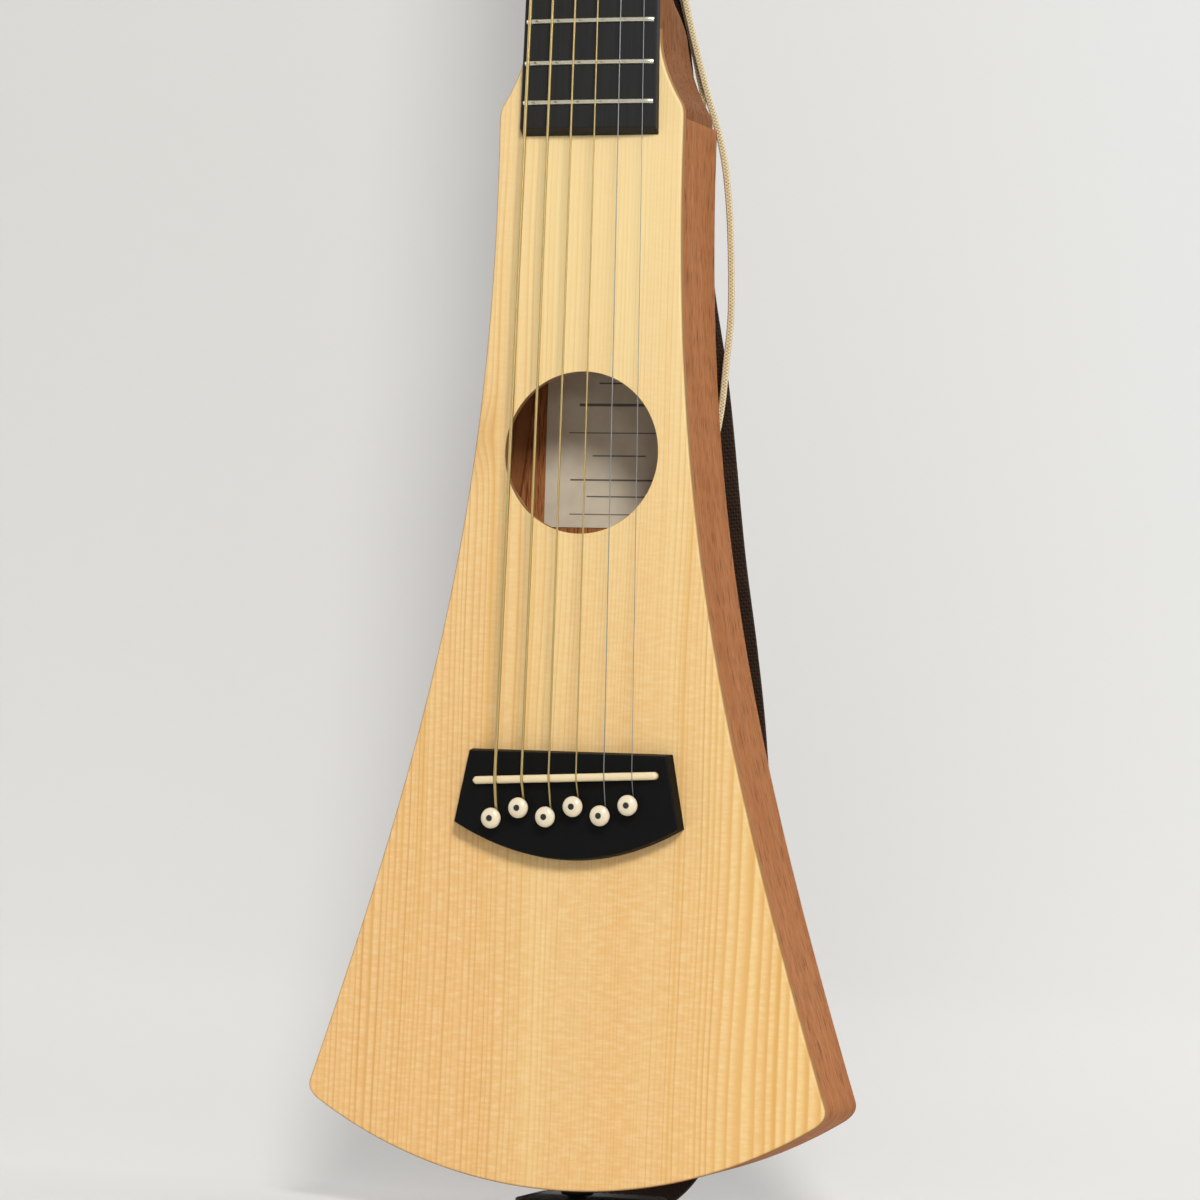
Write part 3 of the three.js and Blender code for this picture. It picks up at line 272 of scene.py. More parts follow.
def mahogany(name, tone=1.0, run=False, along=2, slant=0.0):
    """Open-pored red-brown wood. along is the axis of the grain."""
    s = Shade(name)
    parts = s.split(s.place(run))
    grain = parts.pop(along)
    first, second = parts
    first = first + grain * slant
    wave = s.noise(s.vector(first * 0.05, second * 0.05,
                            grain * 0.012), 1.0, 2.0)
    first = first + s.span(wave, 0.0, 1.0, -2.5, 2.5)

    def stretched(across, lengthwise, detail):
        return s.noise(s.vector(first * across, second * across,
                                grain * lengthwise), 1.0, detail, 0.55)

    ribbon = stretched(0.16, 0.008, 2.0)
    fibre = stretched(2.6, 0.06, 3.0)
    pore = s.span(stretched(1.75, 0.09, 1.0), 0.55, 0.68, smooth=True)
    short = s.span(stretched(3.2, 0.16, 1.0), 0.56, 0.70, smooth=True)
    color = s.mix(s.span(ribbon, 0.3, 0.7), toned((0.44, 0.165, 0.054), tone), toned((0.53, 0.220, 0.082), tone))
    color = s.mix(s.span(fibre, 0.35, 0.75, 0.0, 0.5), color, toned((0.24, 0.080, 0.030), tone))
    pores = s.calc("MAXIMUM", pore, short * 0.7)
    color = s.mix(pores * 0.85, color, toned((0.11, 0.036, 0.014), tone))
    height = fibre * 0.3 - pores
    return s.finish(base_color=color, roughness=s.span(ribbon, 0.3, 0.7, 0.60, 0.52),
                    normal=s.bump(height, 0.08, 0.5), specular_ior_level=0.04)


def softwood(along):
    """Bare brace wood. along is the axis of the grain."""
    s = Shade("softwood" + "xyz"[along])
    parts = s.split(s.place())
    grain = parts.pop(along)
    vector = s.vector(parts[0] * 0.9, parts[1] * 0.9, grain * 0.02)
    line = s.noise(vector, 1.0, 3.0, 0.6)
    fuzz = s.noise(s.place(), 3.0, 2.0)
    color = s.mix(s.span(line, 0.35, 0.65), (0.66, 0.46, 0.25), (0.50, 0.31, 0.14))
    color = s.mix(s.span(fuzz, 0.3, 0.8, 0.0, 0.25), color, (0.75, 0.57, 0.34))
    return s.finish(base_color=color, roughness=0.75, normal=s.bump(line, 0.06, 0.4))


def paper():
    """Label paper with ruled lines."""
    s = Shade("label_paper")
    x, _, z = s.split(s.place())
    across = s.calc("ABSOLUTE", x - 2.0)
    lines = 0.0
    ruled = ((321.0, 17.0, 0.5), (312.5, 9.0, 0.25), (304.0, 17.0, 0.5), (293.0, 21.0, 0.16), (284.0, 11.0, 0.22),
             (274.5, 20.0, 0.3), (268.0, 13.0, 0.22), (261.0, 20.0, 0.16))
    for height, half_long, half_thick in ruled:
        away = s.calc("ABSOLUTE", z - height)
        stroke = s.span(away, half_thick, half_thick + 0.1, 1.0, 0.0)
        stroke = stroke * s.span(across, half_long, half_long + 0.1, 1.0, 0.0)
        lines = s.calc("MAXIMUM", lines, stroke)
    cloud = s.noise(s.place(), 0.15, 3.0)
    fleck = s.noise(s.place(), 4.0, 2.0)
    color = s.mix(s.span(cloud, 0.3, 0.7), (0.76, 0.68, 0.53), (0.70, 0.60, 0.45))
    color = s.mix(s.span(fleck, 0.55, 0.8, 0.0, 0.2), color, (0.55, 0.50, 0.42))
    color = s.mix(lines * 0.85, color, (0.05, 0.048, 0.045))
    return s.finish(base_color=color, roughness=0.85, normal=s.bump(fleck, 0.02, 0.3))


def speckled(name, color, other, rough, scale=2.0, share=0.5, bump=0.01, **more):
    """A moulded, cast or pressed surface: a slight mottle in its colour and a fine grain in its face."""
    s = Shade(name)
    spot = s.place()
    cloud = s.noise(spot, scale * 0.08, 3.0)
    grain = s.noise(spot, scale, 2.0)
    factor = s.span(cloud * 0.6 + grain * 0.4, 0.35, 0.65, 0.0, share)
    return s.finish(base_color=s.mix(factor, color, other), roughness=s.span(cloud, 0.3, 0.7, rough, rough + 0.08),
                    normal=s.bump(grain, bump, 0.5), **more)


def black_board(name, color, rough, gloss):
    """Pressed dark fibreboard, with faint streaks along the strings."""
    s = Shade(name)
    x, y, z = s.split(s.place())
    streak = s.noise(s.vector(x * 2.6, y, z * 0.05), 1.0, 3.0, 0.6)
    grain = s.noise(s.place(), 5.0, 2.0)
    tone = s.mix(s.span(streak, 0.35, 0.7, 0.0, 0.6), color, toned(color, 1.7))
    tone = s.mix(s.span(grain, 0.6, 0.8, 0.0, 0.3), tone, toned(color, 2.4))
    return s.finish(base_color=tone, roughness=s.span(streak, 0.3, 0.7, rough, rough + 0.1),
                    normal=s.bump(grain + streak, 0.02, 0.4), specular_ior_level=gloss)


def metal(name, color, rough, stretch=(1.0, 1.0, 1.0), bump=0.004, mottle=0.1):
    """Polished, brushed or cast metal, with hairlines drawn out along the axis whose factor is small."""
    s = Shade(name)
    hair = s.noise(s.scaled(s.place(), stretch), 6.0, 3.0, 0.6)
    cloud = s.noise(s.place(), 0.2, 2.0)
    tone = s.mix(s.span(cloud, 0.3, 0.7, 0.0, mottle), color, toned(color, 0.7))
    return s.finish(base_color=tone, metallic=1.0, roughness=s.span(hair, 0.3, 0.7, rough, rough + 0.1),
                    normal=s.bump(hair, bump, 0.4))


def wound(name, color, pitch):
    """A string's winding: one turn of wire each pitch along its run."""
    s = Shade(name)
    around, along, _ = s.split(s.place(run=True))
    turns = along / pitch + around * 0.001
    wave = s.calc("PINGPONG", turns, 0.5)
    height = s.calc("SQRT", wave * 2.0)
    dull = s.noise(s.vector(around, along * 0.05, 0.0), 1.0, 2.0)
    # Painted shade: the wire is coloured darker in the grooves between its turns.
    tone = s.mix(s.span(height, 0.15, 0.7), toned(color, 0.75), color)
    tone = s.mix(s.span(dull, 0.3, 0.7, 0.0, 0.35), tone, toned(color, 0.75))
    return s.finish(base_color=tone, metallic=1.0, roughness=0.36, normal=s.bump(height, pitch * 0.03, 0.3))


def webbing():
    """Black ribbed webbing. Its run is the place across the strap and along it."""
    s = Shade("webbing")
    across, along, _ = s.split(s.place(run=True))
    rib = s.calc("PINGPONG", along / 1.4, 0.5)
    yarn = s.calc("PINGPONG", across / 1.1, 0.5)
    shift = s.calc("PINGPONG", along / 2.8 + across / 2.2, 0.5)
    fuzz = s.noise(s.place(), 7.0, 3.0, 0.7)
    wear = s.noise(s.place(), 0.12, 3.0)
    height = rib * yarn * 3.0 + shift * 0.5
    # Painted shade and light: the weave is coloured darker where it lies low between ribs and yarns, and lighter on its
    # tops.
    color = s.mix(s.span(height, 0.1, 0.9), (0.006, 0.003, 0.002), (0.072, 0.038, 0.022))
    color = s.mix(s.span(fuzz, 0.55, 0.8, 0.0, 0.45), color, (0.11, 0.060, 0.034))
    color = s.mix(s.span(wear, 0.4, 0.8, 0.0, 0.14), color, (0.09, 0.048, 0.027))
    return s.finish(base_color=color, roughness=0.82, normal=s.bump(height + fuzz * 0.6, 0.25, 0.8),
                    specular_ior_level=0.2)


def leather():
    """Dull black leather: pebbles between fine creases."""
    s = Shade("leather")
    spot = s.place()
    cell = s.value("ShaderNodeTexVoronoi", {"Vector": spot, "Scale": 1.1}, "Distance", feature="DISTANCE_TO_EDGE")
    crease = s.noise(spot, 0.35, 4.0, 0.6)
    pebble = s.span(cell, 0.0, 0.22)
    color = s.mix(s.span(crease, 0.3, 0.7), (0.016, 0.013, 0.012), (0.034, 0.028, 0.025))
    # Painted shade: the colour is darker in the seams between the pebbles.
    color = s.mix(s.span(pebble, 0.0, 1.0, 0.5, 0.0), color, (0.006, 0.005, 0.005))
    height = pebble + crease * 1.5
    return s.finish(base_color=color, roughness=s.span(crease, 0.3, 0.7, 0.5, 0.66), normal=s.bump(height, 0.12, 0.5),
                    specular_ior_level=0.25)


def braid():
    """Round braided lace: two sets of strands crossing. Its run is once around and along the cord."""
    s = Shade("lace_braid")
    around, along, _ = s.split(s.place(run=True))
    turn = around * 0.004
    step = along / 2.6
    right = s.calc("PINGPONG", turn + step * 2.0, 0.5)
    left = s.calc("PINGPONG", turn - step * 2.0, 0.5)
    over = s.calc("GREATER_THAN", s.calc("SINE", step * 12.566), 0.0)
    height = s.calc("MAXIMUM", right * s.span(over, 0.0, 1.0, 1.0, 1.7),
                   left * s.span(over, 0.0, 1.0, 1.7, 1.0))
    fuzz = s.noise(s.place(), 9.0, 3.0, 0.7)
    tone = s.noise(s.place(), 0.8, 2.0)
    # Painted shade: the braid is coloured darker where it lies low between its strands.
    color = s.mix(s.span(height, 0.2, 0.65), (0.24, 0.165, 0.06), (0.84, 0.70, 0.43))
    color = s.mix(s.span(tone, 0.35, 0.7, 0.0, 0.35), color, (0.80, 0.66, 0.42))
    color = s.mix(s.span(fuzz, 0.5, 0.8, 0.0, 0.2), color, (0.90, 0.80, 0.58))
    return s.finish(base_color=color, roughness=0.72, normal=s.bump(height + fuzz * 0.2, 0.25, 0.9),
                    sheen_weight=0.2, sheen_roughness=0.5)


MATERIALS = {
    "spruce": spruce(),
    "side_wood": mahogany("side_wood", run=True, along=1),
    "back_wood": mahogany("back_wood"),
    "neck_wood": mahogany("neck_wood", tone=0.6, slant=0.03),
    "lining_wood": mahogany("lining_wood", tone=0.8, run=True, along=1),
    "block_wood": mahogany("block_wood", tone=0.9, along=0),
    "softwood_x": softwood(0),
    "paper": paper(),
    "board": black_board("board", (0.015, 0.015, 0.015), 0.5, 0.2),
    "bridge_black": black_board("bridge_black", (0.003, 0.003, 0.003), 0.5, 0.1),
    "bone": speckled("bone", (0.88, 0.73, 0.46), (0.82, 0.65, 0.38), 0.32, subsurface_weight=0.1,
                     subsurface_radius=(0.002, 0.0012, 0.0006)),
    "pin": speckled("pin", (0.87, 0.76, 0.56), (0.80, 0.68, 0.46), 0.22, coat_weight=0.3, coat_roughness=0.1),
    "dot": speckled("dot", (0.012, 0.012, 0.012), (0.02, 0.02, 0.02), 0.3),
    "nickel": metal("nickel", (0.72, 0.69, 0.56), 0.2, (0.05, 1.0, 1.0), 0.001, 0.0),
    "steel": metal("steel", (0.33, 0.335, 0.34), 0.28),
    "rod": metal("rod", (0.45, 0.46, 0.48), 0.4, (1.0, 1.0, 0.03), 0.02, 0.3),
    "chrome": metal("chrome", (0.80, 0.81, 0.82), 0.1),
    "webbing": webbing(),
    "leather": leather(),
    "plastic": speckled("plastic", (0.014, 0.014, 0.015), (0.022, 0.022, 0.023), 0.38, scale=4.0, bump=0.02,
                        specular_ior_level=0.3),
    "thread": speckled("thread", (0.02, 0.018, 0.017), (0.05, 0.045, 0.04), 0.7, scale=6.0, bump=0.04),
    "braid": braid(),
}
for number, diameter in enumerate(STRING_DIAMETERS, 1):
    if number > PLAIN_STRINGS:
        MATERIALS["wound_%d" % number] = wound("wound_%d" % number, (0.60, 0.45, 0.19), 0.16 + diameter * 0.2)


# ---------------------------------------------------------------- mesh making
def add_piece(name, points, faces, material, slot, replaces=(), uvs=None, smooth=35, weighted=True, body="guitar"):
    """A mesh from points in millimetres. uvs holds one pair, in millimetres, for each corner of each face."""
    mesh = bpy.data.meshes.new(name)
    mesh.from_pydata([tuple(p) for p in np.asarray(points, float) * MM], [], faces)
    if uvs is not None:
        layer = mesh.uv_layers.new(name="run")
        layer.data.foreach_set("uv", (np.asarray(uvs, float) * MM).ravel())
    return dress(name, mesh, material, replaces, smooth, weighted, body)


def dress(name, mesh, material, replaces=(), smooth=35, weighted=True, body="guitar"):
    """Makes a mesh a piece of the guitar. Edges sharper than smooth, in degrees, stay sharp."""
    mesh.materials.clear()
    mesh.materials.append(MATERIALS[material])
    mesh.polygons.foreach_set("use_smooth", [True] * len(mesh.polygons))
    mesh.set_sharp_from_angle(angle=math.radians(smooth))
    mesh.update()
    piece = bpy.data.objects.new(name, mesh)
    bpy.context.scene.collection.objects.link(piece)
    if weighted:
        modifier = piece.modifiers.new("weighted", "WEIGHTED_NORMAL")
        modifier.keep_sharp = True
        modifier.weight = 90
    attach(piece, body)
    if replaces:
        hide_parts(*replaces)
    return piece


def lengths(points):
    steps = np.linalg.norm(np.diff(points, axis=0), axis=1)
    return np.concatenate([[0], np.cumsum(steps)])


def skin(rings, caps=True):
    """Points, faces and runs over rings of equally many points. The run is (place round the ring, length along), with
    1000 for once round."""
    rings = np.asarray(rings, float)
    count, size = rings.shape[:2]
    along = lengths(rings.mean(axis=1))
    faces, uvs = [], []
    for i in range(count - 1):
        for k in range(size):
            a, b = i * size + k, i * size + (k + 1) % size
            faces.append((a, b, b + size, a + size))
            left, right = k / size * 1000, (k + 1) / size * 1000
            uvs += [(left, along[i]), (right, along[i]), (right, along[i + 1]), (left, along[i + 1])]
    if caps:
        last = (count - 1) * size
        faces.append(tuple(range(size))[::-1])
        faces.append(tuple(range(last, last + size)))
        uvs += [(0, along[0])] * size + [(0, along[-1])] * size
    return outward(rings.reshape(-1, 3), faces, uvs)


def outward(points, faces, uvs):
    """Turns the faces of a closed mesh round when they face in."""
    volume = 0.0
    for face in faces:
        a = points[face[0]]
        for i in range(1, len(face) - 1):
            volume += np.dot(a, np.cross(points[face[i]], points[face[i + 1]]))
    if volume < 0:
        turned, start = [], 0
        for face in faces:
            turned += uvs[start:start + len(face)][::-1]
            start += len(face)
        return points, [face[::-1] for face in faces], turned
    return points, faces, uvs


def offset(loop, distance):
    """A closed anticlockwise loop in x and z moved outwards by a distance."""
    loop = np.asarray(loop, float)
    before, after = np.roll(loop, 1, axis=0), np.roll(loop, -1, axis=0)
    a, b = loop - before, after - loop
    a /= np.linalg.norm(a, axis=1)[:, None]
    b /= np.linalg.norm(b, axis=1)[:, None]
    normal_a, normal_b = np.c_[a[:, 1], -a[:, 0]], np.c_[b[:, 1], -b[:, 0]]
    middle = normal_a + normal_b
    middle /= np.maximum(np.linalg.norm(middle, axis=1), 1e-9)[:, None]
    reach = 1 / np.maximum((middle * normal_a).sum(axis=1), 0.5)
    return loop + middle * reach[:, None] * distance


def anticlockwise(loop):
    loop = np.asarray(loop, float)
    x, z = loop[:, 0], loop[:, 1]
    area = (x * np.roll(z, -1) - np.roll(x, -1) * z).sum()
    return loop if area > 0 else loop[::-1]


def quarter(radius, steps=4):
    """Pairs of inset and depth for a rounded edge, from the wall to the face."""
    angles = np.linspace(0, math.pi / 2, steps + 1)
    return [(radius * (1 - math.cos(t)), radius * (1 - math.sin(t))) for t in angles]


def slab(loop, front, back, holes=(), round_front=0.0, round_back=0.0, round_hole=0.0):
    """A flat board in x and z from y = front to y = back, with rounded edges and rounded holes."""
    points, faces = [], []

    def profile(front_round, back_round):
        rows = [(i, back - d) for i, d in quarter(back_round)[::-1]] if back_round else [(0, back)]
        rows += [(i, front + d) for i, d in quarter(front_round)] if front_round else [(0, front)]
        return rows

    caps = {"front": [], "back": []}
    for index, edge in enumerate([loop, *holes]):
        base = anticlockwise(edge)
        rows = profile(round_front, round_back) if index == 0 else profile(round_hole, 0)
        size = len(base)
        first = len(points)
        for inset, y in rows:
            ring = offset(base, -inset if index == 0 else inset)
            points += [(x, y, z) for x, z in ring]
        for r in range(len(rows) - 1):
            for k in range(size):
                a, b = first + r * size + k, first + r * size + (k + 1) % size
                quad = (a, a + size, b + size, b)
                faces.append(quad if index == 0 else quad[::-1])
        caps["back"].append(list(range(first, first + size)))
        caps["front"].append(list(range(first + (len(rows) - 1) * size, first + len(rows) * size)))
    for side, loops in caps.items():
        flat = [i for ring in loops for i in ring]
        triangles = tessellate_polygon([[Vector((points[i][0], points[i][2], 0)) for i in ring] for ring in loops])
        for triangle in triangles:
            a, b, c = (flat[i] for i in triangle)
            pa, pb, pc = (Vector(points[i]) for i in (a, b, c))
            faces_back = (pb - pa).cross(pc - pa).y > 0
            faces.append((a, b, c) if faces_back == (side == "back") else (a, c, b))
    return np.array(points, float), faces


def turned(profile, sides=32, axis="Y"):
    """A turned shape from pairs of radius and height along an axis, with each end on the axis."""
    points, faces = [], []
    rows = [(max(r, 0.0), h) for r, h in profile]
    angles = np.linspace(0, 2 * math.pi, sides, endpoint=False)
    starts = []
    for radius, height in rows:
        starts.append(len(points))
        if radius < 1e-6:
            points.append((0, height, 0))
        else:
            points += [(radius * math.cos(t), height, radius * math.sin(t)) for t in angles]
    for (r0, _), (r1, _), s0, s1 in zip(rows, rows[1:], starts, starts[1:]):
        for k in range(sides):
            n = (k + 1) % sides
            if r0 < 1e-6 and r1 < 1e-6:
                continue
            if r0 < 1e-6:
                faces.append((s0, s1 + k, s1 + n))
            elif r1 < 1e-6:
                faces.append((s0 + k, s1, s0 + n))
            else:
                faces.append((s0 + k, s1 + k, s1 + n, s0 + n))
    points = np.array(points, float)
    if axis == "X":
        points = points[:, [1, 2, 0]]
    elif axis == "Z":
        points = points[:, [2, 0, 1]]
    points, faces, _ = outward(points, faces, [(0, 0)] * sum(len(f) for f in faces))
    return points, faces


def shape_of(mesh):
    """A mesh's points in millimetres and its faces."""
    return np.array([tuple(v.co / MM) for v in mesh.vertices]), [tuple(p.vertices) for p in mesh.polygons]


def sided(shape, side):
    """A shape as it is for the treble side, or mirrored for the bass side."""
    points, faces = shape
    return points * np.array([side, 1, 1]), faces if side > 0 else [face[::-1] for face in faces]


def rod(radius, low, high, sides, axis="Y"):
    return turned([(0, low), (radius, low), (radius, high), (0, high)], sides, axis)


def moved(points, matrix):
    return np.array([tuple(matrix @ Vector(p)) for p in np.asarray(points, float)])


def merged(*parts):
    """Several closed shapes as one list of points and faces."""
    points, faces = [], []
    for more_points, more_faces in parts:
        start = len(points)
        points += [tuple(p) for p in more_points]
        faces += [tuple(i + start for i in face) for face in more_faces]
    return np.array(points, float), faces


def block(low, high):
    """A plain box, as a tool that cuts."""
    (a, b, c), (d, e, f) = low, high
    points = [(x, y, z) for x in (a, d) for y in (b, e) for z in (c, f)]
    faces = [(0, 1, 3, 2), (4, 6, 7, 5), (0, 4, 5, 1), (2, 3, 7, 6), (0, 2, 6, 4), (1, 5, 7, 3)]
    return np.array(points, float), faces


def boolean(points, faces, others, kind="DIFFERENCE"):
    """The mesh left after a shape is cut by, or joined with, others."""
    def temporary(part):
        mesh = bpy.data.meshes.new("temporary")
        mesh.from_pydata([tuple(p) for p in np.asarray(part[0], float) * MM], [], part[1])
        made = bpy.data.objects.new("temporary", mesh)
        bpy.context.scene.collection.objects.link(made)
        return made

    target = temporary((points, faces))
    tools = [temporary(part) for part in others]
    for tool in tools:
        modifier = target.modifiers.new("cut", "BOOLEAN")
        modifier.operation, modifier.object, modifier.solver = kind, tool, "EXACT"
    bpy.context.view_layer.update()
    result = bpy.data.meshes.new_from_object(target.evaluated_get(bpy.context.evaluated_depsgraph_get()))
    for made in [target, *tools]:
        bpy.data.objects.remove(made)
    return result


def catmull(points, per_span=12):
    """Points on a centripetal curve through the given ones, as the CAD source draws it."""
    points = [np.asarray(p, float) for p in points]
    points = [2 * points[0] - points[1], *points, 2 * points[-1] - points[-2]]
    made = []
    for i in range(1, len(points) - 2):
        p0, p1, p2, p3 = points[i - 1:i + 3]
        d0, d1, d2 = (max(np.linalg.norm(b - a), 1e-8) ** 0.5 for a, b in ((p0, p1), (p1, p2), (p2, p3)))
        t1 = ((p1 - p0) / d0 - (p2 - p0) / (d0 + d1) + (p2 - p1) / d1) * d1
        t2 = ((p2 - p1) / d1 - (p3 - p1) / (d1 + d2) + (p3 - p2) / d2) * d1
        for t in np.linspace(0, 1, per_span, endpoint=False):
            a = 2 * p1 - 2 * p2 + t1 + t2
            b = -3 * p1 + 3 * p2 - 2 * t1 - t2
            made.append(p1 + t1 * t + b * t ** 2 + a * t ** 3)
    made.append(points[-2])
    return np.array(made)


def resampled(points, step):
    """Points at equal steps along a line, and the line's length."""
    points = np.asarray(points, float)
    at = lengths(points)
    count = max(2, int(round(at[-1] / step)) + 1)
    even = np.linspace(0, at[-1], count)
    return np.stack([np.interp(even, at, points[:, k]) for k in range(3)], axis=1), at[-1]


def tube_rings(points, radius, sides, start=(1, 0, 0)):
    """Rings round a line, without twist."""
    points = np.asarray(points, float)
    tangents = np.gradient(points, axis=0)
    tangents /= np.linalg.norm(tangents, axis=1)[:, None]
    across = np.asarray(start, float)
    rings = []
    for i, (point, tangent) in enumerate(zip(points, tangents)):
        across = across - tangent * across.dot(tangent)
        across /= np.linalg.norm(across)
        out = np.cross(tangent, across)
        size = radius[i] if np.ndim(radius) else radius
        angles = np.linspace(0, 2 * math.pi, sides, endpoint=False)
        rings.append([point + (across * math.cos(t) + out * math.sin(t)) * size for t in angles])
    return np.array(rings)


def tube(name, points, radius, sides, material, slot, replaces):
    points, faces, uvs = skin(tube_rings(points, radius, sides))
    return add_piece(name, points, faces, material, slot, replaces, uvs, 50, False)


def cad(name, material, bevel=0.0):
    """A CAD node that stays, with its own finish and, where it has edges that show, a small bevel."""
    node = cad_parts[name]
    node.data.materials.clear()
    node.data.materials.append(MATERIALS[material])
    if bevel:
        modifier = node.modifiers.new("bevel", "BEVEL")
        modifier.width, modifier.segments = bevel * MM, 2
        modifier.limit_method, modifier.angle_limit = "ANGLE", math.radians(30)


# ---------------------------------------------------------------- lace
LACE_ROUTE = [
    (2.6, 3, -1.4), (2.7, 3, -8.8), (4.3, 4.4, -78.8), (5.2, 6.4, -102.8), (6.5, 9.5, -130.8), (9.2, 13.8, -180.8),
    (12.3, 17.8, -225.8), (14.8, 20.2, -255.8), (18, 21.9, -285.8), (22.3, 22.4, -307.6), (30.9, 22.5, -339.2),
    (39.4, 22.6, -366.8), (42.5, 22.6, -386.3), (44.2, 22.6, -409.8), (44.7, 22.6, -433.2), (43.5, 22.6, -448.8),
    (41.7, 22.7, -469.1), (38.3, 22.8, -484.8), (32.6, 22.9, -497.3), (25.3, 23, -502.8), (17.5, 23, -499.3),
    (11.6, 23, -488.8), (8.6, 23.1, -468.8), (9, 23.3, -435.8), (13, 23.8, -404.8), (20.5, 24.5, -376.8),
    (27.5, 24.9, -359.8), (30, 25, -346.3), (27.9, 25, -336.3), (25.2, 25, -324.8), (20.8, 24.9, -307.6),
    (15.5, 24, -285.8), (10.3, 21.6, -255.8), (6.8, 18.4, -225.8), (3.4, 14, -180.8), (0.6, 9.8, -130.8),
    (-0.3, 6.4, -102.8), (-1.6, 4.4, -78.8), (-2.6, 3, -8.8), (-2.6, 3, -1.4),
]
TIE_HALF = [
    (6.25, 3, 6.4), (11, 2.6, 7.2), (16, 1.2, 8), (21.4, -1.5, 9), (23.1, -4.2, 9.5), (23.3, -8, 10.1),
    (23.3, -13, 11), (23.2, -18.2, 12), (22.4, -20.4, 12.4), (20.4, -21.2, 12.7), (14, -21.2, 12.9),
]
LACE_RADIUS, LACE_SIDES = 1.35, 12


def add_lace():
    line = catmull([(x, y, NUT_Z + z) for x, y, z in LACE_ROUTE], 40)
    line, length = resampled(line, 1.0)
    cord = tube("lace_loop", line, LACE_RADIUS, LACE_SIDES, "braid", "lace_braid", ["lace_cord"])
    route = TIE_HALF + [(0, -21.2, 13)] + [(-x, y, z) for x, y, z in TIE_HALF[::-1]]
    line, _ = resampled(catmull([(x, y, NUT_Z + z) for x, y, z in route], 12), 1.0)
    tube("lace_round_head", line, LACE_RADIUS, LACE_SIDES, "braid", "lace_braid", ["lace_tie"])
    angles = np.linspace(0, 2 * math.pi, 141)
    # The knot is a trefoil, flattened a little.
    ring = 3.05 + LACE_RADIUS * np.cos(3 * angles)
    loop = np.stack([ring * np.cos(2 * angles), 1.95 * np.sin(3 * angles), ring * np.sin(2 * angles) * 1.1], axis=1)
    rings = tube_rings((loop + np.array(KNOT))[:-1], LACE_RADIUS, LACE_SIDES)
    points, faces, uvs = skin(rings, caps=False)
    start, size = (len(rings) - 1) * LACE_SIDES, LACE_SIDES
    # The last ring joins the first one at the point where their angles agree best.
    shift = int(np.argmin(np.linalg.norm(rings[0] - rings[-1][0] - (rings[0].mean(0) - rings[-1].mean(0)), axis=1)))
    for k in range(size):
        faces.append((start + k, start + (k + 1) % size, (k + 1 + shift) % size, (k + shift) % size))
        uvs += [(k / size * 1000, 0), ((k + 1) / size * 1000, 0), ((k + 1) / size * 1000, 0.8),
                (k / size * 1000, 0.8)]
    points, faces, uvs = outward(points, faces, uvs)
    add_piece("lace_knot_wraps", points, faces, "braid", "lace_braid", ["lace_knot"], uvs, 60, False)


add_lace()

# ---------------------------------------------------------------- strap
STRAP_SHARES = [
    (0, 0.06, 0), (0, 0.3, 0), (0.05, 0.47, 0.004), (0.22, 0.69, 0.019), (0.54, 0.9, 0.058), (0.83, 1, 0.11),
    (0.97, 0.88, 0.18), (1, 0.62, 0.255), (0.94, 0.46, 0.303), (0.83, 0.32, 0.352), (0.62, 0.18, 0.443),
    (0.41, 0.145, 0.493), (0.18, 0.14, 0.562), (-0.06, 0.138, 0.634), (-0.19, 0.125, 0.67), (-0.2, 0.085, 0.73),
    (-0.17, 0.03, 0.77), (-0.12, -0.04, 0.83), (-0.06, -0.115, 0.9),
]
TAB_TOP_Z = -0.3 - 2.7 - (6 - TAB_THICK) / 2
WEBBING_START_Z = TAB_TOP_Z - TAB_THICK - 0.3 - 0.9
HEAD_TAB_LOW_Z, HEAD_TAB_TOP_Z, HEAD_TAB_Y = 690.0, 786.0, 6.15
WEBBING_END_Y = HEAD_TAB_Y + TAB_THICK + 0.3 + 0.9
RIB_PITCH, RIB_STEPS = 1.4, 4
WEBBING_WIDTH, STITCH_GAP = 48, 3


def strap_line():
    top = HEAD_TAB_LOW_Z + 22
    points = [(0, 12, WEBBING_START_Z)]
    points += [(29.1 * s, BACK_Y + 60 * b, WEBBING_START_Z + (top - WEBBING_START_Z) * r) for s, b, r in STRAP_SHARES]
    points += [(0, WEBBING_END_Y, HEAD_TAB_LOW_Z - 11), (0, WEBBING_END_Y, top)]
    return catmull(points, 40)


def strap_axes(line):
    """The directions across the webbing and out of its face, at each point of its line."""
    along = np.gradient(line, axis=0)
    along /= np.linalg.norm(along, axis=1)[:, None]
    across = np.array([1.0, 0, 0]) - along * along[:, :1]
    across /= np.linalg.norm(across, axis=1)[:, None]
    return across, np.cross(along, across)


def stitches(spots, length=2.2, radius=0.28):
    """Sewn stitches: small rounded bars from pairs of middle and direction."""
    parts = []
    for middle, direction in spots:
        middle, direction = np.asarray(middle, float), np.asarray(direction, float)
        direction = direction / np.linalg.norm(direction)
        line = [middle + direction * length * t for t in (-0.5, -0.35, 0, 0.35, 0.5)]
        thick = np.array([0.12, 0.9, 1.0, 0.9, 0.12]) * radius
        parts.append(skin(tube_rings(np.array(line), thick, 6, start=(0.31, 0.62, 0.72)))[:2])
    return merged(*parts)


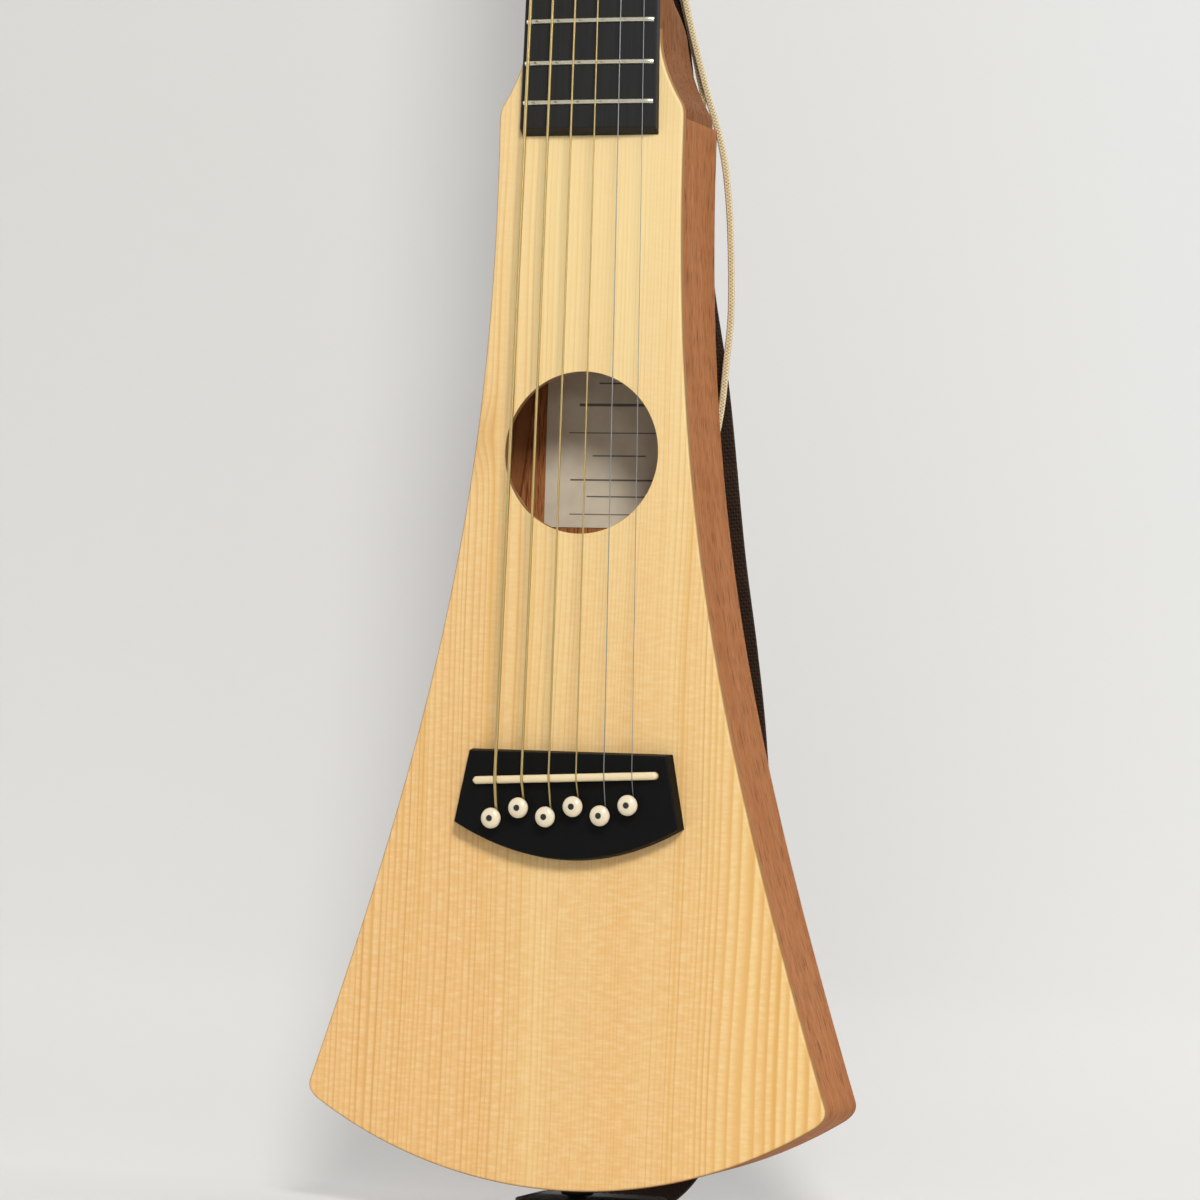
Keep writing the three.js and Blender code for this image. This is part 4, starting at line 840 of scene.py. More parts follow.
def add_strap():
    line, length = resampled(strap_line(), RIB_PITCH / RIB_STEPS)
    across, out = strap_axes(line)
    # Each rib is a soft ridge across the webbing, and the selvedge is a little thicker than the middle.
    ridge = 0.07 * np.cos(np.arange(len(line)) * (2 * math.pi / RIB_STEPS))
    places = np.array([-24, -23.7, -22.6, -20.5, -14, -7, 0, 7, 14, 20.5, 22.6, 23.7, 24])
    thick = np.array([0.0, 0.62, 0.86, 0.74, 0.72, 0.72, 0.72, 0.72, 0.72, 0.74, 0.86, 0.62, 0.0])
    section = [(x, t) for x, t in zip(places, thick)] + [(x, -t) for x, t in zip(places[-2:0:-1], thick[-2:0:-1])]
    rings = []
    for x, t in section:
        height = t + np.sign(t) * ridge * (abs(t) > 0.1)
        rings.append(line + across * x + out * height[:, None])
    rings = np.stack(rings, axis=1)
    points, faces, uvs = skin(rings)
    uvs = np.array(uvs)
    size = len(section)
    xs = np.array([x for x, _ in section] + [section[0][0]])
    uvs[:, 0] = xs[np.clip(np.round(uvs[:, 0] / 1000 * size).astype(int), 0, size)]
    webbing_piece = add_piece("strap_band", points, faces, "webbing", "strap_webbing_black", ["strap_webbing"], uvs,
                              60, False)
    # At the head tab a sewn box with a cross, and under the tail a plain box.
    spots = []
    top = HEAD_TAB_LOW_Z + 20
    face = WEBBING_END_Y + 0.9
    for x in np.arange(-18, 18.1, STITCH_GAP):
        spots += [((x, face, HEAD_TAB_LOW_Z + 1.5), (1, 0, 0)), ((x, face, top), (1, 0, 0))]
    for z in np.arange(HEAD_TAB_LOW_Z + 3, top - 1, STITCH_GAP):
        spots += [((-19.5, face, z), (0, 0, 1)), ((19.5, face, z), (0, 0, 1))]
    for t in np.linspace(0.06, 0.94, 12):
        x, z = -18 + 36 * t, HEAD_TAB_LOW_Z + 2.5 + (top - HEAD_TAB_LOW_Z - 4) * t
        spots += [((x, face, z), (36, 0, 17)), ((-x, face, z), (-36, 0, 17))]
    low = WEBBING_START_Z - 0.85
    for x in np.arange(-18, 18.1, STITCH_GAP):
        spots += [((x, 14.0, low), (1, 0, 0)), ((x, 26.5, low), (1, 0, 0))]
    for y in np.arange(16, 25.5, STITCH_GAP):
        spots += [((-19.5, y, low), (0, 1, 0)), ((19.5, y, low), (0, 1, 0))]
    sewing = add_piece("strap_sewing", *stitches(spots), "thread", "strap_webbing_black", smooth=60, weighted=False)


def rounded_rectangle(left, right, low, high, radius, steps=8):
    corners = [(right - radius, low + radius, -90), (right - radius, high - radius, 0),
               (left + radius, high - radius, 90), (left + radius, low + radius, 180)]
    points = []
    for x, z, start in corners:
        for t in np.radians(np.linspace(start, start + 90, steps + 1)):
            points.append((x + radius * math.cos(t), z + radius * math.sin(t)))
    return points


def circle(x, z, radius, sides=32):
    angles = np.linspace(0, 2 * math.pi, sides, endpoint=False)
    return [(x + radius * math.cos(t), z + radius * math.sin(t)) for t in angles]


def stitched_loop(loop, y):
    """Stitches along a closed loop in x and z, at a height y."""
    line = np.array([(x, y, z) for x, z in [*loop, loop[0]]])
    line, _ = resampled(line, STITCH_GAP)
    return [((a + b) / 2, b - a) for a, b in zip(line, line[1:])]


def add_tabs():
    # The tail tab is made standing and laid flat under the tail.
    flat = Matrix(((1, 0, 0, 0), (0, 0, 1, 0), (0, -1, 0, TAB_TOP_Z - TAB_THICK), (0, 0, 0, 1)))
    outline = rounded_rectangle(-23, 29, -14, 30, TAB_ROUND)
    points, faces = slab(outline, -TAB_THICK, 0, [circle(0, 0, 3.8)], 0.5, 0.5, 0.3)
    add_piece("strap_tail_leather", moved(points, flat), faces, "leather", "strap_leather_black", ["strap_tail_tab"])
    edge = offset(anticlockwise(outline), -TAB_EDGE_SEAM)
    points, faces = stitches(stitched_loop(edge, -TAB_THICK - 0.02))
    add_piece("strap_tail_sewing", moved(points, flat), faces, "thread", "strap_leather_black", smooth=60,
              weighted=False)
    outline = rounded_rectangle(-20, 20, HEAD_TAB_LOW_Z, HEAD_TAB_TOP_Z, TAB_ROUND)
    points, faces = slab(outline, HEAD_TAB_Y, HEAD_TAB_Y + TAB_THICK, [circle(0, KNOT[2], 5.1)], 0.5, 0.5, 0.3)
    add_piece("strap_head_leather", points, faces, "leather", "strap_leather_black", ["strap_head_tab"])
    edge = offset(anticlockwise(outline), -TAB_EDGE_SEAM)
    spots = [spot for spot in stitched_loop(edge, HEAD_TAB_Y + TAB_THICK + 0.02) if spot[0][2] > HEAD_TAB_LOW_Z + 23]
    points, faces = stitches(spots)
    add_piece("strap_head_sewing", points, faces, "thread", "strap_leather_black", smooth=60, weighted=False)
    pin = [(0, 18), (3.1, 18), (3.6, 17.4), (4.2, -0.3), (5.9, -0.3), (6.35, -0.6), (6.5, -1.2), (6.4, -2.3),
           (5.9, -3.0), (4.3, -3.1), (3.6, -3.8), (3.45, -6), (3.6, -8.2), (4.3, -9.0), (5.9, -9.05), (6.4, -9.4),
           (6.5, -10.1), (6.1, -10.9), (5.2, -11.4), (3.4, -11.65), (0, -11.7)]
    add_piece("end_pin", *turned(pin, 40, "Z"), "plastic", "black_plastic", ["strap_button"], smooth=60)


add_strap()
add_tabs()


# ---------------------------------------------------------------- body
def bezier(points, steps=60):
    t = np.linspace(0, 1, steps + 1)[:, None]
    rows = [np.asarray(p, float) + 0 * t for p in points]
    while len(rows) > 1:
        rows = [(1 - t) * a + t * b for a, b in zip(rows, rows[1:])]
    return rows[0]


def stretch(line, start, end, steps):
    """Points between two lengths along a line, without the first one."""
    at = lengths(line)
    even = np.linspace(start, end, steps + 1)[1:]
    return np.stack([np.interp(even, at, line[:, k]) for k in range(2)], axis=1)


def board_half(z):
    return (NUT_WIDTH + (BOARD_WIDTH - NUT_WIDTH) * (NUT_Z - z) / (NUT_Z - BOARD_END_Z)) / 2


def half_outline(corner_round):
    """The treble half of the body's outline, from the top of the shoulder down to the middle of the tail."""
    tail_radius, corner_half, waist_half, shoulder_half, flare_top = 188.0, 106.4, 37.66, 37.7, 396.3
    corner_z = tail_radius - math.sqrt(tail_radius ** 2 - corner_half ** 2)
    fall, flare = flare_top - corner_z, corner_half - waist_half
    top = (board_half(SHOULDER_TOP_Z), SHOULDER_TOP_Z)
    ridge = (shoulder_half - 1.4, SHOULDER_Z + 3.8 + 2.3)
    sweep = bezier([top, (top[0], top[1] - 13.5), ridge])
    bend = bezier([ridge, (shoulder_half, SHOULDER_Z + 3.8), (shoulder_half, SHOULDER_Z)])
    flank = bezier([(waist_half, flare_top), (waist_half, flare_top - fall * 0.38),
                    (corner_half - flare * 0.66, corner_z + fall * 0.37), (corner_half, corner_z)], 400)
    angles = np.linspace(-math.acos(corner_half / tail_radius), -math.pi / 2, 200)
    tail = np.stack([tail_radius * np.cos(angles), tail_radius + tail_radius * np.sin(angles)], axis=1)
    flank_length, tail_length = lengths(flank)[-1], lengths(tail)[-1]
    flank = stretch(flank, 0, flank_length - corner_round, 90)
    tail = stretch(tail, corner_round, tail_length, 50)
    start = np.array([[waist_half, flare_top]])
    corner = bezier([flank[-1], (corner_half, corner_z), tail[0]], 14)[1:]
    return np.concatenate([sweep[::3], bend[5::5], start, flank, corner, tail[1:]])


def inset(points, distance):
    """The half outline moved inwards, still ending on the middle line."""
    before = np.concatenate([points[:1], points[:-1]])
    after = np.concatenate([points[1:], points[-1:]])
    along = after - before
    along /= np.linalg.norm(along, axis=1)[:, None]
    result = np.stack([points[:, 0] + along[:, 1] * distance, points[:, 1] - along[:, 0] * distance], axis=1)
    result[-1, 0] = 0
    return result


def below(points, z):
    """The part of the half outline that lies below a height."""
    first = int(np.argmax(points[:, 1] < z - 0.01))
    start = points[first - 1]
    share = (start[1] - z) / (start[1] - points[first, 1])
    return np.concatenate([[start + (points[first] - start) * share], points[first:]])


def mirror(points):
    return points[::-1] * np.array([-1, 1])


HALF, LINING_HALF = half_outline(4.5), half_outline(9.0)


def half_at(z):
    """Half the body's width at a height above the tail's corners."""
    upper = HALF[HALF[:, 1] > 40][::-1]
    return float(np.interp(z, upper[:, 1], upper[:, 0]))


def saddle_z(x):
    return SADDLE_Z - SADDLE_DROP + (x - SADDLE_X) * math.tan(SADDLE_SLANT)


SADDLE_TOP_Y = FRONT_Y - 10


def crown(x):
    """How far the fingerboard's round face falls away at a place across it."""
    return BOARD_RADIUS - math.sqrt(BOARD_RADIUS ** 2 - x ** 2)


def string_facts():
    facts = []
    for i, diameter in enumerate(STRING_DIAMETERS):
        share, radius = i / 5, diameter / 2
        side = 1 if share < 0.5 else -1
        saddle_x, nut_x = 27.65 - 55.3 * share, 18 - 36 * share
        pin_x = saddle_x - PIN_SHIFT
        pin_z = saddle_z(pin_x) - (11 if i % 2 == 0 else 14.7)
        notch_z = pin_z + math.sqrt((PIN_HOLE_RADIUS + radius) ** 2 - PIN_SHIFT ** 2)
        facts.append({
            "number": i + 1, "radius": radius, "side": side, "place": TUNER_PLACES[i if side > 0 else 5 - i],
            "saddle_x": saddle_x, "nut_x": nut_x, "pin_x": pin_x, "pin_z": pin_z, "notch_z": notch_z,
            "saddle_y": SADDLE_TOP_Y - radius + crown(saddle_x) - 0.02,
            "nut_y": FRONT_Y - BOARD_THICK - FRET_HEIGHT - 0.5 - radius + crown(nut_x),
        })
    return facts


STRINGS = string_facts()
HEAD = Matrix.Translation((0, FRONT_Y, HEAD_Z)) @ Matrix.Rotation(-HEAD_TILT, 4, "X")


def add_body():
    loop = np.concatenate([HALF, mirror(HALF)[1:]])
    pin_holes = [circle(f["pin_x"], f["pin_z"], PIN_HOLE_RADIUS, 24) for f in STRINGS]
    hole = circle(0, SOUND_HOLE_Z, SOUND_HOLE_RADIUS, 120)
    points, faces = slab(loop, FRONT_Y, INSIDE_FRONT_Y, [hole, *pin_holes], 1.0, 0, 0.35)
    add_piece("top_board", points, faces, "spruce", "spruce_top", ["soundboard"])
    lower = below(HALF, SHOULDER_Z)
    loop = np.concatenate([lower, mirror(lower)[1:]])
    points, faces = slab(loop, INSIDE_BACK_Y, BACK_Y, [], 0, 0.9)
    add_piece("back_board", points, faces, "back_wood", "mahogany_body", ["back_plate"])
    inner = below(inset(HALF, SIDE_THICK), SHOULDER_Z)
    # The two lines pair up from the tail, and both start at the shoulder.
    count = min(len(lower), len(inner))
    outer_start, inner_start = lower[0], inner[0].copy()
    outer, inner = lower[-count:], inner[-count:]
    outer[0], inner[0] = outer_start, inner_start
    for name, sign in (("treble", 1), ("bass", -1)):
        rings = []
        for (xo, zo), (xi, zi) in zip(outer, inner):
            xo, xi = max(xo, 0.01) * sign, max(xi, 0.01) * sign
            rings.append([(xo, INSIDE_FRONT_Y, zo), (xo, 0, zo), (xo, INSIDE_BACK_Y, zo), (xi, INSIDE_BACK_Y, zi),
                          (xi, 0, zi), (xi, INSIDE_FRONT_Y, zi)])
        points, faces, uvs = skin(rings)
        uvs = np.array(uvs)
        depths = np.array([0, 18, 36, 40, 58, 76, 80.0])
        uvs[:, 0] = depths[np.clip(np.round(uvs[:, 0] / 1000 * 6).astype(int), 0, 6)] + (0 if sign > 0 else 150)
        add_piece("rim_" + name, points, faces, "side_wood", "mahogany_body", ["side_" + name], uvs, 40, False)
    for end in ("front", "back"):
        for name, sign in (("treble", 1), ("bass", -1)):
            add_lining(end, name, sign)
    for name in ("neck_block", "tail_block", "bridge_plate"):
        cad(name, "block_wood")
    for name in ("x_brace", "transverse_brace", "back_brace_upper", "back_brace_lower"):
        cad(name, "softwood_x", bevel=1.6)
    cad("label", "paper")
    cad("reinforcement_rod", "rod")


LINING_TOP_Z, LINING_LOW_X = 373.2, 30.3


def add_lining(end, name, sign):
    """A bent strip glued along the joint."""
    wall = below(inset(LINING_HALF, SIDE_THICK + SEAT_GAP), LINING_TOP_Z)
    wall = wall[wall[:, 0] > LINING_LOW_X]
    flat = np.c_[wall[:, 0], np.zeros(len(wall)), wall[:, 1]]
    line, _ = resampled(flat, 0.8)
    along = np.gradient(line, axis=0)
    along /= np.linalg.norm(along, axis=1)[:, None]
    inward = np.c_[along[:, 2], np.zeros(len(line)), -along[:, 0]]
    y_joint, into = (INSIDE_FRONT_Y, 1) if end == "front" else (INSIDE_BACK_Y, -1)
    y_free = y_joint + into * LINING_HEIGHT
    middle = y_joint + (y_free - y_joint) * 0.35
    rings = []
    for point, direction in zip(line, inward):
        corners = [(0, y_joint), (0, y_free), (1.4, y_free), (LINING_THICK, middle), (LINING_THICK, y_joint)]
        ring = [point + direction * depth + np.array([0, y, 0]) for depth, y in corners]
        rings.append([(x * sign, y, z) for x, y, z in ring])
    points, faces, uvs = skin(rings)
    add_piece("lining_%s_%s_bent" % (end, name), points, faces, "lining_wood", "inner_mahogany",
              ["lining_%s_%s" % (end, name)], uvs, 30, False)


add_body()


# ---------------------------------------------------------------- neck and board
HEEL_SHARES = np.array([
    (0, 1, 14), (0.22, 1, 13), (0.29, 1, 9), (0.33, 1, 5.5), (0.38, 0.98, 3), (0.43, 0.85, 2.2), (0.5, 0.62, 2),
    (0.6, 0.36, 2), (0.72, 0.16, 2), (0.86, 0.04, 2), (1, 0, 2),
])
NECK_SIDES = 48


def neck_ring(z, half, front, depth, squareness, low_front=None):
    ring = []
    for i in range(NECK_SIDES + 1):
        angle = math.pi * i / NECK_SIDES
        side = 1 if i < NECK_SIDES / 2 else -1 if i > NECK_SIDES / 2 else 0
        across = abs(math.cos(angle)) ** (2 / squareness) * side
        back = abs(math.sin(angle)) ** (2 / squareness) if 0 < i < NECK_SIDES else 0.0
        y = front + depth * back
        ring.append((half * across, y if low_front is None else max(y, low_front), z))
    return ring


def add_neck():
    fine = np.linspace(0, 1, 601)
    kernel = np.exp(-np.linspace(-2.5, 2.5, 31) ** 2 / 2)
    kernel /= kernel.sum()

    def eased(column):
        values = np.interp(fine, HEEL_SHARES[:, 0], HEEL_SHARES[:, column])
        padded = np.concatenate([np.full(15, values[0]), values, np.full(15, values[-1])])
        return np.convolve(padded, kernel, "valid")

    extra, square = eased(1), eased(2)

    def section(z, low_front=None):
        share = min(max((z - HEEL_Z) / HEEL_LENGTH, 0), 1)
        plain = NECK_DEPTH_LOW + (NECK_DEPTH_NUT - NECK_DEPTH_LOW) * (z - HEEL_Z) / (NUT_Z - HEEL_Z)
        depth = plain + (BODY_DEPTH - plain) * float(np.interp(share, fine, extra))
        half = half_at(z) if z < SHOULDER_TOP_Z else board_half(z)
        return neck_ring(z, half, FRONT_Y, depth, float(np.interp(share, fine, square)), low_front)

    seat = SHOULDER_TOP_Z + 0.02
    low = [section(z, INSIDE_FRONT_Y) for z in [*np.arange(SHOULDER_Z, SHOULDER_TOP_Z, 0.8), seat - 0.01]]
    high = [section(z) for z in [seat, *np.arange(SHOULDER_TOP_Z + 1, HEEL_Z + HEEL_LENGTH + 1, 1.0)]]
    high += [section(z) for z in np.linspace(HEEL_Z + HEEL_LENGTH + 3, HEAD_Z, 40)]
    for t in np.linspace(0, 1, 7)[1:]:
        depth = NECK_DEPTH_NUT + (HEAD_THICK - NECK_DEPTH_NUT) * (3 * t * t - 2 * t ** 3)
        high.append(neck_ring(HEAD_Z + HEAD_ROOT * t, board_half(NUT_Z),
                              FRONT_Y + HEAD_ROOT * t * math.tan(HEAD_TILT), depth, 2 + 0.4 * t))
    shaft = skin(low + high)[:2]
    half = [(21.45, -HEAD_ROOT), (21.45, 4), (22.1, 9)]
    half += [tuple(p) for p in bezier([(22.1, 9), (23.6, 16), (28.5, 16.5), (28.5, 25)], 10)[1:]]
    half += [tuple(p) for p in bezier([(28.5, 25), (28.5, 30), (23.9, 112), (23.5, HEAD_LENGTH - 6)], 14)[1:]]
    crown_line = bezier([(23.5, HEAD_LENGTH - 6), (22.6, HEAD_LENGTH - 1.2), (12, HEAD_LENGTH), (0, HEAD_LENGTH)],
                        10)[1:]
    half = np.concatenate([np.array(half), crown_line])
    outline = np.concatenate([half, (half * np.array([-1, 1]))[::-1][1:]])
    points, faces = slab(outline, 0, HEAD_THICK, [], 1.0, 1.6)
    head = (moved(points, HEAD), faces)
    solid = shape_of(boolean(*shaft, [head], "UNION"))
    face = block((-60, FRONT_Y - 60, 440), (60, FRONT_Y, HEAD_Z))
    channel = block((-3.3, FRONT_Y - 1, 451.7), (3.3, FRONT_Y + 9.3, NUT_Z - 6.7))
    holes = []
    for fact in STRINGS:
        along, across = fact["place"]
        points, faces = rod(3.3, -2, 17, 32)
        holes.append((moved(points + np.array([fact["side"] * across, 0, along]), HEAD), faces))
    mesh = boolean(*solid, [face, channel, *holes])
    dress("neck_carved", mesh, "neck_wood", ["neck"], 32)


def add_board():
    rings = []
    for z in (BOARD_END_Z, NUT_Z - 0.3):
        half = board_half(z)
        ring = [(half, FRONT_Y, z), (-half, FRONT_Y, z), (-half, FRONT_Y - BOARD_THICK + crown(half) + 0.5, z)]
        for x in np.linspace(-half + 0.5, half - 0.5, 25):
            ring.append((x, FRONT_Y - BOARD_THICK + crown(x), z))
        ring.append((half, FRONT_Y - BOARD_THICK + crown(half) + 0.5, z))
        rings.append(np.array(ring))
    # The end above the body slopes back from its foot to its face.
    end = rings[0].copy()
    bevel = end.copy()
    end[2:, 1] = end[2:, 1] + 0.5
    bevel[2:, 2] += 2.7
    bevel[:2, 2] += 1.0
    end[2:, 2] += 2.2
    points, faces, _ = skin([end, bevel, rings[1]])
    add_piece("fingerboard_blank", points, faces, "board", "black_board", ["fingerboard"], smooth=30)
    parts = []
    half_width = FRET_WIDTH / 2 - 0.15
    for number in range(1, FRET_COUNT + 1):
        z = SADDLE_Z + SCALE * 2 ** (-number / 12)
        half = board_half(z) - 1
        rings = []
        for t in np.linspace(-1, 1, 25):
            x = half * t
            # The ends are filed down at a slope.
            drop = max(0.0, abs(x) - (half - 1.1)) * 0.75
            face = FRONT_Y - BOARD_THICK + crown(x)
            ring = [(x, face + 1.2, z - 0.3), (x, face + 0.15, z - 0.3), (x, face + 0.15, z - half_width)]
            for angle in np.linspace(math.pi, 0, 9):
                height = max(FRET_HEIGHT * math.sin(angle) - drop, 0.02 * math.sin(angle))
                ring.append((x, face - height + 0.1 * (1 - math.sin(angle)), z + half_width * math.cos(angle)))
            ring += [(x, face + 0.15, z + half_width), (x, face + 0.15, z + 0.3), (x, face + 1.2, z + 0.3)]
            rings.append(ring)
        parts.append(skin(rings)[:2])
    add_piece("fret_wires", *merged(*parts), "nickel", "string_plain", ["fingerboard"], smooth=40, weighted=False)
    cad("nut", "bone", bevel=0.35)


add_neck()
add_board()


# ---------------------------------------------------------------- bridge
def add_bridge():
    def outline(drawn_in):
        corner, top = 46.2 - drawn_in, (40.75 - drawn_in, 168.2 - drawn_in)
        low = bezier([(corner, 139.9), (0, 2 * (126.4 + drawn_in) - 139.9), (-corner, 139.9)], 48)
        left = bezier([low[-1], (-top[0], top[1])], 6)[1:]
        right = bezier([top, low[0]], 6)
        upper = bezier([(-top[0], top[1]), top], 12)[1:-1]
        return np.concatenate([right, low[1:], left, upper])

    rings = []
    for drawn_in, y in ((0.0, FRONT_Y), (0.62, BRIDGE_TOP_Y + 0.7), (0.72, BRIDGE_TOP_Y + 0.35),
                        (0.9, BRIDGE_TOP_Y + 0.12), (1.2, BRIDGE_TOP_Y)):
        rings.append([(x, y, z) for x, z in outline(drawn_in)])
    solid = skin(rings)[:2]
    turn = Matrix.Translation((SADDLE_X, 0, SADDLE_Z - SADDLE_DROP)) @ Matrix.Rotation(-SADDLE_SLANT, 4, "Y")
    points, faces = slab(rounded_rectangle(-37.7, 37.7, -1.62, 1.62, 1.6, 6), BRIDGE_TOP_Y - 1, BRIDGE_TOP_Y + 4.2)
    cutters = [(moved(points, turn), faces)]
    for fact in STRINGS:
        points, faces = rod(2.72, BRIDGE_TOP_Y - 1, FRONT_Y + 1, 28)
        cutters.append((points + np.array([fact["pin_x"], 0, fact["pin_z"]]), faces))
        size = fact["radius"] + 0.35
        points, faces = rod(size, BRIDGE_TOP_Y - 1.3, FRONT_Y + 1.3, 16)
        cutters.append((points + np.array([fact["saddle_x"], 0, fact["notch_z"]]), faces))
    dress("bridge_plate_black", boolean(*solid, cutters), "bridge_black", ["bridge"], 30)
    # The saddle: its crown follows the fingerboard's, and its ends are round.
    rings = []
    ends = [0.02, 0.08, 0.2, 0.35, 0.5]
    places = [(3 * e - 37.5, 1.5 * math.sqrt(1 - (1 - 2 * e) ** 2)) for e in ends]
    places += [(x, 1.5) for x in np.linspace(-34, 34, 18)]
    places += [(-x, half) for x, half in places[:len(ends)][::-1]]
    for x, half in places:
        end_drop = 0.9 * max(0.0, (abs(x) - 35.4) / 2.1) ** 2
        top = SADDLE_TOP_Y + crown(x) + end_drop
        ring = [(x, BRIDGE_TOP_Y + 4, -half), (x, BRIDGE_TOP_Y + 4, half)]
        for angle in np.linspace(0, math.pi, 9):
            ring.append((x, top + 1.1 * (1 - math.sin(angle)), half * math.cos(angle)))
        rings.append(ring)
    points, faces, _ = skin(rings)
    add_piece("saddle_blade", moved(points, turn), faces, "bone", "bone_white", ["saddle"], smooth=45)
    tip = INSIDE_FRONT_Y + 2.2 + 8
    head = BRIDGE_TOP_Y - 2.7
    shape = [(0, tip), (1.2, tip - 0.2), (1.9, tip - 1.0), (2.4, BRIDGE_TOP_Y), (2.45, head), (3.3, head),
             (3.75, head - 0.15), (4.0, head - 0.7), (3.92, head - 1.2), (3.6, head - 1.75), (3.0, head - 2.2),
             (2.2, head - 2.55), (1.6, head - 2.7), (1.25, head - 2.78), (1.2, head - 2.6), (0, head - 2.6)]
    dot = [(0, head - 2.4), (1.19, head - 2.4), (1.19, head - 2.7), (0.9, head - 2.79), (0, head - 2.8)]
    for fact in STRINGS:
        place = np.array([fact["pin_x"], 0, fact["pin_z"]])
        number = fact["number"]
        for name, profile, material, stands in (("pin_%d", shape, "pin", ["bridge_pin_%d" % number]),
                                                ("pin_dot_%d", dot, "dot", [])):
            points, faces = turned(profile, 40)
            add_piece(name % number, points + place, faces, material, "pin_white", stands, smooth=50)


add_bridge()


# ---------------------------------------------------------------- strings
def head_point(x, y, z):
    return np.array(tuple(HEAD @ Vector((x, y, z))))


def post_start(side):
    """The angle at which a string meets its post, and the way that its turns go round."""
    return (math.pi, -1) if side > 0 else (0.0, 1)


def add_strings():
    for fact in STRINGS:
        radius, number, side = fact["radius"], fact["number"], fact["side"]
        along, across = fact["place"]
        knee = np.array([fact["saddle_x"], BRIDGE_TOP_Y - 0.6 - radius, fact["notch_z"]])
        crest = np.array([fact["saddle_x"], fact["saddle_y"], saddle_z(fact["saddle_x"])])
        foot = np.array([fact["saddle_x"], INSIDE_FRONT_Y + 6.2, fact["notch_z"]])
        nut_low = np.array([fact["nut_x"], fact["nut_y"], NUT_Z])
        nut_high = np.array([fact["nut_x"], fact["nut_y"], HEAD_Z])
        post = head_point(side * (across - ARRIVAL_RADIUS - radius), -TURNS_HEIGHT - 1.15 * radius, along)

        def bend(before, corner, after, room):
            a = corner + (before - corner) / np.linalg.norm(before - corner) * room
            b = corner + (after - corner) / np.linalg.norm(after - corner) * room
            return [tuple(p) for p in bezier([a, corner, b], 6)]

        line = [tuple(foot)]
        line += bend(foot, knee, crest, 1.8)
        line += bend(knee, crest, nut_low, 1.4)
        line += bend(crest, nut_low, nut_high, 0.3) + bend(nut_low, nut_high, post, 1.2)
        line += [tuple(post)]
        sides = 14 if radius > 0.25 else 10
        material = "wound_%d" % number if number > PLAIN_STRINGS else "steel"
        slot = "string_wound" if number > PLAIN_STRINGS else "string_plain"
        tube("string_%d_run" % number, line, radius, sides, material, slot, ["string_%d" % number])
        # The turns on the post, the end that comes out of its hole, and the drop between them.
        reach, first_y = POST_RADIUS + radius, radius - TURNS_HEIGHT
        start, turn = post_start(side)

        def on_post(angle, y):
            return reach * math.cos(angle), y, reach * math.sin(angle)

        coil_height = min(3.1 - 2 * radius, 6.4 * radius)
        turns = [on_post(start + turn * t * TURNS_COUNT * 2 * math.pi, first_y + t * coil_height)
                 for t in np.linspace(0, 1, 80)]
        drop = [on_post(start - turn * back, first_y - rise) for back, rise in
                ((2.15, HOLE_ABOVE_TURNS), (1.9, 1.98), (1.6, 1.6), (1.2, 0.75), (0.75, 0.03))]
        angle = start - turn * HOLE_ANGLE
        hole_y = first_y - HOLE_ABOVE_TURNS
        stub = [(far * math.cos(angle), hole_y, far * math.sin(angle)) for far in (-5.0, -3.2, 0, 2.6)]
        line, _ = resampled(catmull(stub + drop + turns, 3), 0.6)
        shift = Matrix.Translation((side * across, 0, along))
        points, faces, uvs = skin(tube_rings(line, radius, 10, start=(0, 1, 0.1)))
        add_piece("string_turns_%d" % number, moved(points, HEAD @ shift), faces, material, slot, (), uvs, 60, False,
                  "tuner_post_%d" % number)


add_strings()


# ---------------------------------------------------------------- tuners
SCREW_Z = -15.4
GEAR_TEETH = 14


def knob(side):
    """The button's grip: narrow at the shaft, wide and slightly hollowed towards its end."""
    rings = []
    for t, wide, thick in ((0.0, 2.7, 2.3), (0.05, 3.1, 2.6), (0.16, 3.9, 2.8), (0.32, 5.1, 3.0), (0.5, 5.8, 3.2),
                           (0.68, 6.0, 3.45), (0.82, 5.9, 3.65),
                           (0.91, 5.6, 3.7), (0.965, 5.0, 3.45), (0.99, 4.3, 2.9), (1.0, 3.2, 2.0)):
        x = side * (11.0 + 13.0 * t)
        ring = []
        for angle in np.linspace(0, 2 * math.pi, 40, endpoint=False):
            c, s = math.cos(angle), math.sin(angle)
            ring.append((x, thick * math.copysign(abs(s) ** 0.8, s), wide * math.copysign(abs(c) ** 0.8, c)))
        rings.append(ring)
    return skin(rings)[:2]


